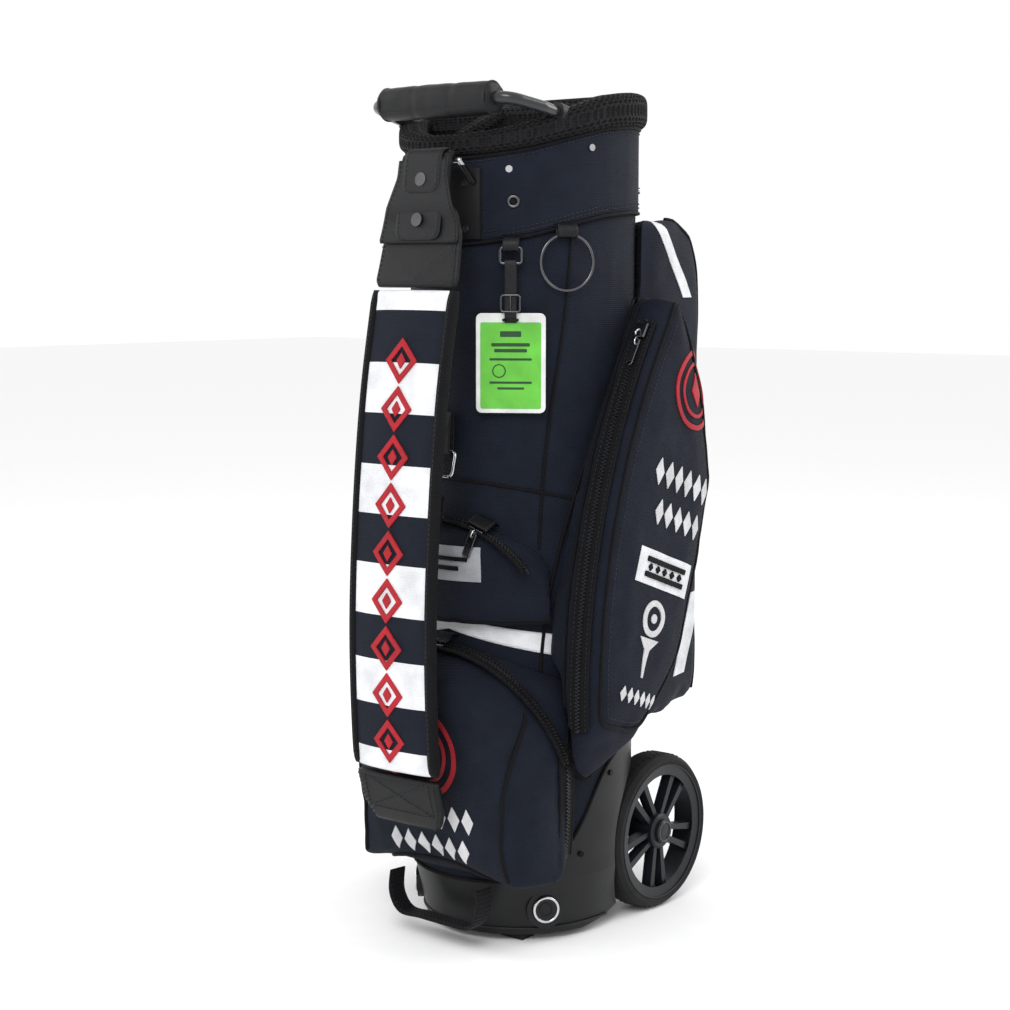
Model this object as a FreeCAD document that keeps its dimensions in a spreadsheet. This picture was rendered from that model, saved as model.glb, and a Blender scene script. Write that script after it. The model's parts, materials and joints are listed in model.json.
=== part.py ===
"""Wheeled golf cart bag: a padded tube on a moulded boot with two spoked wheels, a carry handle over a
slanted club mouth, zipped pockets all round and a hanging shoulder strap.

Millimetres, +Z up. The front of the bag, with its shoulder strap, faces -Y and the wheels are at +Y.
The model is drawn about the tube's own axis. place_in_frame() then moves every sub-part by axis_shift,
so that the origin lies on the floor in the middle of the bag's outline.
"""

import math
import os

import FreeCAD, Part
import Sketcher

X = FreeCAD.Vector(1, 0, 0)
Y = FreeCAD.Vector(0, 1, 0)
Z = FreeCAD.Vector(0, 0, 1)
ORIGIN = FreeCAD.Vector(0, 0, 0)
SIDES = {"right": 1, "left": -1}

DIMENSIONS = {
    # tube, collar and mouth; an S-shaped slant rises from the front value to the back value
    "axis_shift": -3.5, "tube_rx": 120, "tube_ry": 125, "shell_wall": 3, "gap": 0.5,
    "collar_rx": 123, "collar_ry": 128, "collar_low_front": 744, "collar_low_back": 782,
    "collar_top_front": 830, "collar_top_back": 870, "rim_top_front": 850, "rim_top_back": 906,
    "pad_rx": 128, "pad_ry": 133, "pad_inner_rx": 101, "pad_inner_ry": 106,
    "frame_rx": 114, "frame_ry": 119, "frame_wall": 4, "frame_depth": 60, "frame_drop": 10,
    "bar_width": 6, "bar_pad_width": 20, "bar_pad_height": 30, "cross_front_y": -36, "cross_back_y": 38,
    "panel_thickness": 2, "panel_low_z": 106,
    # carry handle
    "handle_foot_x": 102, "handle_foot_y": -64, "handle_foot_z": 878, "handle_reach": 76, "handle_tilt": 11,
    "handle_radius": 6.5, "handle_bend": 24, "grip_length": 150, "grip_height": 34, "grip_depth": 30,
    "sleeve_radius": 11, "sleeve_length": 34,
    # boot
    "boot_low_rx": 106, "boot_low_ry": 111, "boot_low_z": 8, "boot_waist_z": 72, "boot_wall": 6,
    "boot_rise_y": -24, "boot_rise": 32,
    "boot_front_z": 66, "boot_back_z": 212, "foot_x": 50, "foot_y": -72, "foot_length": 30,
    "foot_width": 20, "cap_angle": 38, "cap_radius": 15, "cap_thickness": 7, "cap_z": 38,
    "boss_radius": 21, "screw_radius": 3.2,
    # wheels and axle
    "wheel_radius": 88, "wheel_width": 38, "wheel_x": 98, "wheel_y": 110, "rim_radius": 75,
    "window_radius": 64, "rim_barrel": 28, "hub_radius": 20, "hub_width": 34, "bush_radius": 9,
    "axle_radius": 5, "axle_clearance": 0.05, "spoke_width": 7, "spoke_gap": 9, "spoke_depth": 12,
    "hub_cap_radius": 13.5, "hub_cap_thickness": 4, "arch_radius": 98, "arch_wall": 6,
    "arch_x": 76, "axle_boss_radius": 14, "axle_boss_end": 75,
    # zips: a flat band bent round an arc, a slider that rides on it, and the slider's pull
    "zip_width": 16, "zip_thickness": 2, "slider_length": 17, "slider_height": 5, "pull_length": 27,
    "pull_width": 9, "pull_thickness": 2.4, "pull_barrel": 1.7,
    # front pockets; each zip arch is half a ring on a tilted axis, and zip_tilt is its tilt from +Z
    "ball_zip_y": -86, "ball_zip_z": 208, "ball_zip_radius": 126, "ball_zip_tilt": 66,
    "ball_low_z": 76, "ball_front": 182, "ball_half_width": 125,
    "small_zip_y": -90, "small_zip_z": 362, "small_zip_radius": 106, "small_zip_tilt": 65.6,
    "small_low_z": 350, "small_front": 141, "small_park": 25,
    # side pockets; their front edges and zips are long arcs about one line parallel to X
    "side_root_x": 60, "side_edge_x": 128, "side_shelf_x": 143, "side_shelf_end_x": 163, "side_face_x": 175,
    "side_arc_y": 607, "side_arc_z": 277, "side_root_arc": 671, "side_edge_arc": 700, "side_zip_arc": 706,
    "side_face_arc": 694, "side_arc_top": 36.5, "side_zip_top": 33.5, "side_zip_sweep": 36,
    # back pocket
    "back_reach": 222, "back_half": 96, "back_root_half": 112, "back_low_z": 216, "back_top_z": 778,
    "back_zip_x": 62, "back_zip_low": 262, "back_zip_length": 430,
    # shoulder strap and its fittings
    "strap_thickness": 13, "strap_half_width": 56, "yoke_half_width": 33, "tongue_half_width": 25,
    "tongue_thickness": 4, "bar_y": -151, "bar_z": 831, "bar_radius": 3, "bar_half_length": 37,
    "anchor_half": 42, "anchor_low_z": 752, "anchor_top_z": 824, "anchor_thickness": 4,
    "web_half_width": 19, "web_thickness": 3, "snap_radius": 7,
    # rings, tag, studs and lift loop
    "spine_tab_half": 9, "spine_tab_low": 527, "spine_tab_top": 572, "spine_ring_half": 15,
    "spine_ring_drop": 26, "wire_radius": 1.6, "towel_angle": 59, "towel_radius": 29, "towel_z": 757,
    "towel_out": 129, "tag_angle": 33, "tag_out": 132, "tag_ring_half": 11, "tag_ring_z": 743,
    "tag_width": 73, "tag_height": 103, "tag_top_z": 676, "tag_thickness": 3, "tag_strap_width": 14,
    "stud_radius": 3.6, "stud_height": 1.5, "loop_low_z": 24, "loop_top_z": 71, "loop_half": 62,
    "loop_y": -143, "loop_width": 24, "loop_thickness": 3,
}

# How far the slanted collar lines have risen, from 0 at the front to 1 at the back, at shares of tube_ry.
SLANT = ((-1.15, 0.0), (-0.78, 0.30), (-0.48, 0.62), (-0.16, 0.88), (0.25, 1.0), (1.15, 1.0))

# The boot's top edge climbs from the front to above the wheels: share of tube_ry, share of the climb.
BOOT_CLIMB = ((-1.15, 0.0), (-0.72, 0.03), (-0.40, 0.32), (-0.10, 0.80), (0.16, 0.95), (0.48, 1.0),
              (1.15, 1.0))

# Side view of the strap's middle line: distance in front of the axis, height.
STRAP_LINE = ((162, 770), (176, 702), (197, 588), (210, 465), (216, 341), (212, 222), (203, 178), (190, 142))

# Side view of the yoke's fold over its bar, as distance behind the axis and height.
YOKE_FOLD = ((-146, 836), (-150, 841), (-156, 840), (-159, 834), (-166, 790), (-170, 766), (-156, 768),
             (-147, 826))

# The tongue on the yoke's face and its two snaps: distance in front of the axis, height.
TONGUE_LINE = ((159.6, 834), (166.6, 790), (172.4, 752))
SNAPS = ((163.4, 812), (169.8, 771))
SNAP_FACING = FreeCAD.Vector(0, -1, 0.16)

# Side view of the swivel hook between the D-ring and the web: distance behind the axis, height.
HOOK = ((-134.6, 512), (-141.5, 512), (-146, 500), (-155, 487), (-162, 490), (-152, 508), (-147, 519),
        (-136, 519), (-134.6, 516))

# Side view of the web that runs behind the strap, from the strap's lower end up to the hook.
WEB_LINE = ((186, 163), (186, 215), (185.6, 270), (181, 330), (171, 400), (161, 452), (155, 486))

# Side pocket seen from the side, below the arc of its front edge: the bottom, then the back edge up to
# the top, as distance behind the axis and height; at the root in the tube, the piped edge and the face.
SIDE_ROOT_REST = ((-45, 180), (-20, 192), (30, 234), (66, 268), (112, 386), (138, 520), (134, 610),
                  (106, 676))
SIDE_EDGE_REST = ((-70, 168), (-28, 190), (30, 234), (66, 268), (112, 386), (138, 520), (134, 610),
                  (106, 676))
SIDE_FACE_REST = ((-72, 250), (-22, 242), (24, 281), (50, 312), (84, 410), (106, 490), (92, 570),
                  (66, 645))

# The lower end of the front arc, in degrees below its centre, at the edge and at the face.
SIDE_EDGE_LOW, SIDE_FACE_LOW = 7, 1.5


class Size:
    """A number from the sheet together with the expression that binds a property to it."""

    def __init__(self, value, text):
        self.value = value
        self.text = text

    def _with(self, other, sign, value):
        text = other.text if isinstance(other, Size) else repr(float(other))
        return Size(value, f"({self.text} {sign} {text})")

    def __add__(self, other):
        return self._with(other, "+", self.value + number(other))

    def __sub__(self, other):
        return self._with(other, "-", self.value - number(other))

    def __mul__(self, other):
        return self._with(other, "*", self.value * number(other))

    def __neg__(self):
        return Size(-self.value, f"(-1 * {self.text})")

    def __radd__(self, other):
        return self + other

    def __rsub__(self, other):
        return -self + other


def number(size):
    return size.value if isinstance(size, Size) else float(size)


doc = FreeCAD.newDocument("golf_bag")
sheet = doc.addObject("Spreadsheet::Sheet", "dims")
sub_parts = []


def fill_sheet():
    for row, (alias, value) in enumerate(DIMENSIONS.items(), start=1):
        sheet.set(f"A{row}", alias)
        sheet.set(f"B{row}", str(value))
        sheet.setAlias(f"B{row}", alias)
    doc.recompute()


def dim(alias):
    return Size(float(DIMENSIONS[alias]), f"dims.{alias}")


def bind(thing, **sizes):
    """Sets each property to its size, and binds it to the sheet where the size comes from there."""
    for name, size in sizes.items():
        setattr(thing, name, number(size))
        if isinstance(size, Size):
            thing.setExpression(name, size.text)
    return thing


def part_of(label, thing):
    """Names the object that is one sub-part of the bag."""
    thing.Label = label
    sub_parts.append(thing)
    return thing


def spot(x=0.0, y=0.0, z=0.0, rotation=None):
    return FreeCAD.Placement(FreeCAD.Vector(x, y, z), rotation or FreeCAD.Rotation())


def turned(axis, degrees):
    return FreeCAD.Rotation(axis, degrees)


PLANES = {
    "XY": FreeCAD.Rotation(),
    "XZ": FreeCAD.Rotation(X, Z, -Y, "XYZ"),
    "YZ": FreeCAD.Rotation(Y, Z, X, "XYZ"),
}


# ---------------------------------------------------------------- basic shapes

def box(name, x, y, z, low, rotation=None):
    made = bind(doc.addObject("Part::Box", name), Length=x, Width=y, Height=z)
    made.Placement = spot(*[number(v) for v in low], rotation)
    return made


def rod(name, radius, length, base, along=Z):
    """A cylinder that starts at base and runs along a direction."""
    made = bind(doc.addObject("Part::Cylinder", name), Radius=radius, Height=length)
    made.Placement = spot(*[number(v) for v in base], FreeCAD.Rotation(Z, along))
    return made


def cut(name, base, tool):
    made = doc.addObject("Part::Cut", name)
    made.Base = base
    made.Tool = tool
    return made


def common(name, *shapes):
    made = doc.addObject("Part::MultiCommon", name)
    made.Shapes = list(shapes)
    return made


def fuse(name, *shapes):
    made = doc.addObject("Part::MultiFuse", name)
    made.Shapes = list(shapes)
    return made


def group(name, *shapes):
    """Several separate solids that share one sub-part."""
    made = doc.addObject("Part::Compound", name)
    made.Links = list(shapes)
    return made


def mirrored(name, source):
    made = doc.addObject("Part::Mirroring", name)
    made.Source = source
    made.Normal = X
    made.Base = ORIGIN
    return made


def oval(name, rx, ry, low, high):
    """An upright elliptical prism about the tube's axis."""
    ring = bind(doc.addObject("Part::Ellipse", f"{name}_line"), MajorRadius=ry, MinorRadius=rx)
    ring.Placement = spot(0, 0, number(low), turned(Z, 90))
    return extruded(name, ring, number(high) - number(low))


def extruded(name, base, forward, back=0.0):
    made = doc.addObject("Part::Extrusion", name)
    made.Base = base
    made.DirMode = "Normal"
    made.Solid = True
    return bind(made, LengthFwd=forward, LengthRev=back)


def outline(sketch, corners):
    """Adds a closed polygon, with its corners bound to the sheet, to a sketch that may already hold some."""
    first = sketch.GeometryCount
    points = [FreeCAD.Vector(number(a), number(b), 0) for a, b in corners]
    count = len(points)
    for i in range(count):
        sketch.addGeometry(Part.LineSegment(points[i], points[(i + 1) % count]), False)
    for i in range(count):
        here, after = first + i, first + (i + 1) % count
        sketch.addConstraint(Sketcher.Constraint("Coincident", here, 2, after, 1))
        for kind, size in zip(("DistanceX", "DistanceY"), corners[i]):
            at = sketch.addConstraint(Sketcher.Constraint(kind, -1, 1, here, 1, number(size)))
            if isinstance(size, Size):
                sketch.setExpression(f"Constraints[{at}]", size.text)
    return sketch


def drawn(name, plane, corners, offset=0.0):
    """A free-standing sketch of a polygon on a plane, moved along the plane's normal by offset."""
    sketch = doc.addObject("Sketcher::SketchObject", f"{name}_sketch")
    turn = PLANES[plane]
    sketch.Placement = FreeCAD.Placement(turn.multVec(Z) * number(offset), turn)
    return outline(sketch, corners)


def slab(name, plane, corners, half):
    """A polygon extruded the same way to both sides of its plane."""
    return extruded(name, drawn(name, plane, corners), half, half)


def strip_corners(line, thickness):
    """A strip's closed outline in side view, round a middle line of (distance in front, height) points."""
    half = thickness / 2
    inner, outer = [], []
    for i, (front, height) in enumerate(line):
        before = line[max(i - 1, 0)]
        after = line[min(i + 1, len(line) - 1)]
        run, rise = after[0] - before[0], after[1] - before[1]
        length = math.hypot(run, rise)
        across, up = -rise / length * half, run / length * half
        outer.append((-(front + across), height + up))
        inner.append((-(front - across), height - up))
    return outer + inner[::-1]


def slant_line(front, back, lift=0.0):
    """Corners of an S-shaped slanted line in side view, from the front to the back."""
    ry = dim("tube_ry")
    return [(ry * y, front + (back - front) * rise + lift) for y, rise in SLANT]


def boot_line(lift=0.0):
    ry, low, high = dim("tube_ry"), dim("boot_front_z"), dim("boot_back_z")
    return [(ry * y, low + (high - low) * rise + lift) for y, rise in BOOT_CLIMB]


def between(name, lower, upper):
    """The full-width zone between two side-view lines."""
    return slab(name, "YZ", lower + upper[::-1], dim("pad_rx") + 60)


# ---------------------------------------------------------------- tube, collar and mouth

def oval_ring(name, rx, ry, wall, low, high):
    outer = oval(f"{name}_outer", rx, ry, low, high)
    inner = oval(f"{name}_inner", rx - wall, ry - wall, low - 1, high + 1)
    return cut(f"{name}_ring", outer, inner)


def body_shell():
    ring = oval_ring("shell", dim("tube_rx"), dim("tube_ry"), dim("shell_wall"), 40, 860)
    low = boot_line(dim("gap"))
    high = slant_line(dim("collar_low_front"), dim("collar_low_back"), -dim("gap"))
    part_of("body_shell", common("body_shell", ring, between("shell_zone", low, high)))


def collar():
    wall = dim("collar_rx") - (dim("tube_rx") - dim("shell_wall"))
    ring = oval_ring("collar", dim("collar_rx"), dim("collar_ry"), wall, 700, 900)
    low = slant_line(dim("collar_low_front"), dim("collar_low_back"))
    high = slant_line(dim("collar_top_front"), dim("collar_top_back"))
    part_of("collar", common("collar", ring, between("collar_zone", low, high)))


def frame_zone(name, drop, depth):
    """The zone below the rim's slanted top, from drop below it down to depth below it."""
    front, back = dim("rim_top_front"), dim("rim_top_back")
    return between(name, slant_line(front, back, -depth), slant_line(front, back, -drop))


def cross_bars(name, width, zone):
    """The mouth's bars, kept to a zone: one from front to back, and two across it."""
    reach = 120.0
    bars = [box(f"{name}_long", width, reach * 2, 200, (-number(width) / 2, -reach, 740))]
    for place in ("cross_front_y", "cross_back_y"):
        low = (-reach, DIMENSIONS[place] - number(width) / 2, 740)
        bars.append(box(f"{name}_{place}", reach * 2, width, 200, low))
    return common(f"{name}_cut", fuse(f"{name}_bars", *bars), zone)


def mouth_frame():
    """The hard grid that holds the tube open; the padding hides all of it."""
    rx, ry, wall = dim("frame_rx"), dim("frame_ry"), dim("frame_wall")
    ring = common("frame_rim", oval_ring("frame", rx, ry, wall, 740, 940),
                  frame_zone("frame_rim_zone", dim("frame_drop"), dim("frame_depth")))
    inside = oval("frame_inside", rx - wall * 0.5, ry - wall * 0.5, 740, 940)
    bar_zone = frame_zone("frame_bar_zone", dim("frame_drop"), 26)
    bars = cross_bars("frame", dim("bar_width"), bar_zone)
    grid = fuse("frame_grid", ring, common("frame_bars_in", bars, inside))
    part_of("mouth_frame", cut("mouth_frame", grid, sleeve_room("frame")))


def channel(name):
    """Room for the hard frame inside the padding."""
    rx, ry, gap = dim("frame_rx"), dim("frame_ry"), dim("gap")
    ring = oval_ring(name, rx + gap, ry + gap, dim("frame_wall") + gap * 2, 730, 950)
    zone = frame_zone(f"{name}_zone", dim("frame_drop") - gap, 200)
    bars = cross_bars(f"{name}_bar", dim("bar_width") + gap * 2, zone)
    return fuse(f"{name}_room", common(f"{name}_rim", ring, zone), bars)


def mouth_padding():
    """The padded mesh roll round the rim, from the collar's top edge to the rim's top."""
    rx, ry = dim("pad_rx"), dim("pad_ry")
    ring = oval_ring("pad", rx, ry, rx - dim("pad_inner_rx"), 780, 940)
    low = slant_line(dim("collar_top_front"), dim("collar_top_back"), dim("gap"))
    zone = between("pad_zone", low, slant_line(dim("rim_top_front"), dim("rim_top_back")))
    roll = cut("pad_roll", common("pad_whole", ring, zone), channel("pad_channel"))
    part_of("mouth_pad", cut("mouth_pad", roll, sleeve_room("pad")))


def divider_padding():
    zone = frame_zone("divider_zone", 1, dim("bar_pad_height"))
    gap = dim("gap")
    inside = oval("divider_inside", dim("pad_inner_rx") - gap, dim("pad_inner_ry") - gap, 740, 950)
    bars = common("divider_whole", cross_bars("divider", dim("bar_pad_width"), zone), inside)
    taken = fuse("divider_taken", channel("divider_channel"), sleeve_room("divider"))
    part_of("divider_pads", cut("divider_pads", bars, taken))


def divider_panels():
    """Full-length cloth walls below the bars, which keep each club in its own well."""
    thick = dim("panel_thickness")
    below_bars = -dim("bar_pad_height") - dim("gap")
    zone = between("panel_zone", [(-130, dim("panel_low_z")), (130, dim("panel_low_z"))],
                   slant_line(dim("rim_top_front"), dim("rim_top_back"), below_bars))
    inner = dim("tube_rx") - dim("shell_wall") - 14
    room = oval("panel_room", inner, dim("tube_ry") - dim("shell_wall") - 14, 10, 900)
    low = dim("panel_low_z")
    walls = [box("panel_long", thick, 240, 900, (-number(thick) / 2, -120, number(low)))]
    for place in ("cross_front_y", "cross_back_y"):
        for side, sign in SIDES.items():
            start = 1.5 if sign > 0 else -121.5
            corner = (start, DIMENSIONS[place] - number(thick) / 2, number(low))
            walls.append(box(f"panel_{place}_{side}", 120, thick, 900, corner))
    cells = [common(f"{wall.Name}_in", wall, room, zone) for wall in walls]
    part_of("divider_panels", clear_of_arches(group("divider_walls", *cells)))


def clear_of_arches(panels):
    """The wheel arches bulge into the tube, so the walls stop short of them."""
    radius = dim("arch_radius") + dim("arch_wall") + 2
    inner = dim("arch_x") - dim("arch_wall") - 2
    centre = (dim("wheel_y"), dim("wheel_radius"))
    blocks = [rod(f"panel_arch_{side}", radius, 60, (inner * sign, *centre), X * sign)
              for side, sign in SIDES.items()]
    return cut("divider_panels", panels, fuse("panel_arches", *blocks))


# ---------------------------------------------------------------- carry handle

def handle_frame():
    """The tilted plane that the handle's tube lies in, with its origin midway between the two feet."""
    return spot(0, DIMENSIONS["handle_foot_y"], DIMENSIONS["handle_foot_z"],
                turned(X, -DIMENSIONS["handle_tilt"]))


def handle():
    foot, reach, bend = dim("handle_foot_x"), dim("handle_reach"), dim("handle_bend")
    half_grip = DIMENSIONS["grip_length"] / 2
    route = [(foot.value, 0), (foot.value, -reach.value * 0.42), (half_grip + 15, -reach.value),
             (-half_grip - 15, -reach.value), (-foot.value, -reach.value * 0.42), (-foot.value, 0)]
    path = rounded_wire([FreeCAD.Vector(x, y, 0) for x, y in route], bend.value * 0.8)
    spine = doc.addObject("Part::Feature", "handle_path")
    spine.Shape = path
    ring = bind(doc.addObject("Part::Circle", "handle_section"), Radius=dim("handle_radius"))
    ring.Placement = spot(foot.value, 0, 0, turned(X, 90))
    tube = doc.addObject("Part::Sweep", "handle_tube")
    tube.Sections = [ring]
    tube.Spine = (spine, [f"Edge{i + 1}" for i in range(len(path.Edges))])
    tube.Solid = True
    tube.Frenet = False
    tube.Placement = handle_frame()
    part_of("handle_tube", tube)
    handle_grip(half_grip)
    part_of("handle_sleeves", group("handle_sleeves", *[sleeve(side) for side in SIDES]))


def rounded_wire(points, radius):
    """Straight runs joined by tangent arcs of one radius."""
    edges = []
    start = points[0]
    for before, corner, after in zip(points, points[1:], points[2:]):
        into = (corner - before).normalize()
        out = (after - corner).normalize()
        half_turn = into.getAngle(out) / 2
        trim = radius * math.tan(half_turn)
        first, last = corner - into * trim, corner + out * trim
        side = (out - into).normalize()
        middle = corner + side * (radius / math.cos(half_turn) - radius)
        edges.append(Part.LineSegment(start, first).toShape())
        edges.append(Part.Arc(first, middle, last).toShape())
        start = last
    edges.append(Part.LineSegment(start, points[-1]).toShape())
    return Part.Wire(edges)


def handle_grip(half_grip):
    """A stitched leather wrap with rounded edges, bored for the tube."""
    depth, height = dim("grip_depth"), dim("grip_height")
    block = box("grip_block", dim("grip_length"), depth, height,
                (-half_grip, -DIMENSIONS["handle_reach"] - number(depth) / 2, -number(height) / 2))
    wrap = doc.addObject("Part::Fillet", "grip_wrap")
    wrap.Base = block
    doc.recompute()
    long_edges = [i for i, e in enumerate(block.Shape.Edges, 1) if abs(e.tangentAt(0).x) > 0.9]
    wrap.Edges = [(i, 12.0, 12.0) for i in long_edges]
    start = (-half_grip - 1, -DIMENSIONS["handle_reach"], 0)
    bore = rod("grip_bore", dim("handle_radius") + 0.2, dim("grip_length") + 2, start, X)
    grip = cut("handle_grip", wrap, bore)
    grip.Placement = handle_frame()
    part_of("handle_grip", grip)


def sleeve(side):
    """A collar on the rim that grips one foot of the tube; it is a moulded sleeve with a closed end."""
    sign = SIDES[side]
    length, radius = dim("sleeve_length"), dim("sleeve_radius")
    along = handle_frame().Rotation.multVec(Y)
    foot = handle_frame().multVec(X * sign * DIMENSIONS["handle_foot_x"])
    start = foot - along * 12
    outer = rod(f"sleeve_outer_{side}", radius, length, start, along)
    inner = rod(f"sleeve_bore_{side}", dim("handle_radius") + 0.2, 13.5, start - along, along)
    return cut(f"handle_sleeve_{side}", outer, inner)


def sleeve_room(name):
    """Room in the rim for both sleeves and for the tube in front of them."""
    along = handle_frame().Rotation.multVec(Y)
    rooms = []
    for side, sign in SIDES.items():
        foot = handle_frame().multVec(X * sign * DIMENSIONS["handle_foot_x"])
        start = foot - along * 60
        rooms.append(rod(f"{name}_room_{side}", dim("sleeve_radius") + dim("gap"), 83, start, along))
    return fuse(f"{name}_rooms", *rooms)


# ---------------------------------------------------------------- boot

def cone_oval(name, low_z, high_z, low, high):
    """A tapered oval solid between two ellipses given as (rx, ry)."""
    rings = []
    for label, z, (rx, ry) in (("low", low_z, low), ("high", high_z, high)):
        ring = bind(doc.addObject("Part::Ellipse", f"{name}_{label}"), MajorRadius=ry, MinorRadius=rx)
        ring.Placement = spot(0, 0, number(z), turned(Z, 90))
        rings.append(ring)
    made = doc.addObject("Part::Loft", name)
    made.Sections = rings
    made.Solid = True
    made.Ruled = True
    return made


def boot_hull(name, inset):
    """The boot's outside, or its inside when inset by the wall."""
    low = (dim("boot_low_rx") - inset, dim("boot_low_ry") - inset)
    high = (dim("tube_rx") - inset, dim("tube_ry") - inset)
    waist = dim("boot_waist_z")
    floor_z = dim("boot_low_z") + inset
    taper = cone_oval(f"{name}_taper", floor_z, waist, low, high)
    upper = oval(f"{name}_upper", high[0], high[1], waist, 260)
    return fuse(name, taper, upper)


def wheel_rods(name, radius, inner_x, outer_x):
    """A matching pair of cylinders about the axle, from inner_x out to outer_x on both sides."""
    centre = (dim("wheel_y"), dim("wheel_radius"))
    pair = []
    for side, sign in SIDES.items():
        start = (inner_x * sign, *centre)
        pair.append(rod(f"{name}_{side}", radius, number(outer_x) - number(inner_x), start, X * sign))
    return fuse(name, *pair)


def base_boot():
    wall = dim("boot_wall")
    arch_wall = dim("arch_wall")
    zone = between("boot_zone", [(-150, 0), (150, 0)], boot_line())
    solid = common("boot_solid", boot_hull("boot_outside", 0), zone)
    arches = wheel_rods("arch_blocks", dim("arch_radius") + arch_wall, dim("arch_x") - arch_wall, 135)
    solid_floor = fuse("boot_kept", arches, boot_underside("boot_floor", wall))
    cavity = cut("boot_cavity", boot_hull("boot_inside", wall), solid_floor)
    open_boot = cut("boot_open", solid, cavity)
    wheel_space = wheel_rods("wheel_spaces", dim("arch_radius"), dim("arch_x"), 140)
    carved = cut("boot_carved", open_boot, fuse("boot_off", wheel_space, boot_underside("boot_under", 0)))
    bosses = wheel_rods("axle_bosses", dim("axle_boss_radius"), 48, dim("axle_boss_end"))
    cap_bosses = fuse("cap_bosses", *[cap_rod(f"cap_boss_{s}", s, dim("boss_radius"), -9, 3) for s in SIDES])
    bored = cut("boot_bored", fuse("boot_bossed", carved, bosses, cap_bosses), axle_bore("boot_axle_bore"))
    seats = fuse("cap_seats", *[cap_rod(f"cap_seat_{s}", s, dim("cap_radius") + 0.3, -3, 8) for s in SIDES])
    part_of("base_boot", cut("base_boot", bored, seats))


def boot_underside(name, lift):
    """Everything under the boot's floor line, which rises from behind the feet to the back."""
    start, low, rise = dim("boot_rise_y"), dim("boot_low_z"), dim("boot_rise")
    return slab(name, "YZ", [(start, -20), (start, low + lift), (150, low + rise + lift), (150, -20)], 160)


def axle_bore(name):
    radius = dim("axle_radius") + dim("axle_clearance")
    return rod(name, radius, 320, (-160, dim("wheel_y"), dim("wheel_radius")), X)


def cap_rod(name, side, radius, inner, outer):
    """A cylinder on the boot's front corner, square to its wall, from inner to outer of the wall face."""
    angle = math.radians(DIMENSIONS["cap_angle"])
    sign = SIDES[side]
    low, waist = DIMENSIONS["boot_low_z"], DIMENSIONS["boot_waist_z"]
    share = (DIMENSIONS["cap_z"] - low) / (waist - low)
    rx = DIMENSIONS["boot_low_rx"] + share * (DIMENSIONS["tube_rx"] - DIMENSIONS["boot_low_rx"])
    ry = DIMENSIONS["boot_low_ry"] + share * (DIMENSIONS["tube_ry"] - DIMENSIONS["boot_low_ry"])
    face = FreeCAD.Vector(sign * rx * math.cos(angle), -ry * math.sin(angle), DIMENSIONS["cap_z"])
    out = FreeCAD.Vector(sign * math.cos(angle) / rx, -math.sin(angle) / ry, 0).normalize()
    return rod(name, radius, outer - inner, face + out * inner, out)


def boot_fittings():
    caps = [cap_rod(f"cap_{side}", side, dim("cap_radius"), -2.7, DIMENSIONS["cap_thickness"] - 2.5)
            for side in SIDES]
    part_of("corner_caps", group("corner_caps", *caps))
    pads = []
    for side, sign in SIDES.items():
        length, width = dim("foot_length"), dim("foot_width")
        low = (sign * DIMENSIONS["foot_x"] - number(length) / 2, DIMENSIONS["foot_y"] - number(width) / 2, 0)
        pads.append(box(f"foot_{side}", length, width, dim("boot_low_z") - 0.05, low))
    part_of("foot_pads", group("foot_pads", *pads))


def boot_screws():
    """Screws that pin the boot's climbing edge, seated on its wall."""
    rx, ry = DIMENSIONS["tube_rx"], DIMENSIONS["tube_ry"]
    screws = []
    for side, sign in SIDES.items():
        for y, z in ((-42, 96), (2, 178)):
            angle = math.asin(y / ry)
            face = FreeCAD.Vector(sign * rx * math.cos(angle), y, z)
            out = FreeCAD.Vector(sign * math.cos(angle) / rx, math.sin(angle) / ry, 0).normalize()
            screws.append(rod(f"boot_screw_{side}_{z}", dim("screw_radius"), 1.6, face + out * 0.4, out))
    return screws


# ---------------------------------------------------------------- wheels and axle

def revolved(name, plane, corners, axis):
    """A PartDesign body turned round one of its sketch's axes."""
    body = doc.addObject("PartDesign::Body", name)
    sketch = body.newObject("Sketcher::SketchObject", f"{name}_profile")
    sketch.AttachmentSupport = (origin_plane(body, plane), [""])
    sketch.MapMode = "FlatFace"
    outline(sketch, corners)
    turn = body.newObject("PartDesign::Revolution", f"{name}_turn")
    turn.Profile = sketch
    turn.ReferenceAxis = (sketch, [axis])
    turn.Angle = 360.0
    return body


def origin_plane(body, role):
    return next(f for f in body.Origin.OriginFeatures if f.Role == f"{role}_Plane")


def tyre(side):
    """A rubber tyre with a bevelled tread; it turns about the body's local Z axis."""
    half, outer, inner = dim("wheel_width") * 0.5, dim("wheel_radius"), dim("rim_radius") + 0.2
    corners = [(inner, -half + 1.5), (outer - 6, -half), (outer - 1.5, -half + 5), (outer, -half + 11),
               (outer, half - 11), (outer - 1.5, half - 5), (outer - 6, half), (inner, half - 1.5)]
    return on_axle(part_of(f"tyre_{side}", revolved(f"tyre_{side}", "XZ", corners, "V_Axis")), side)


def on_axle(thing, side, out=0.0):
    """Lays a wheel piece, drawn about local Z, on the axle with its outer face away from the bag."""
    sign = SIDES[side]
    centre = (sign * (DIMENSIONS["wheel_x"] + out), DIMENSIONS["wheel_y"], DIMENSIONS["wheel_radius"])
    thing.Placement = spot(*centre, FreeCAD.Rotation(Z, X * sign))
    return thing


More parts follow.
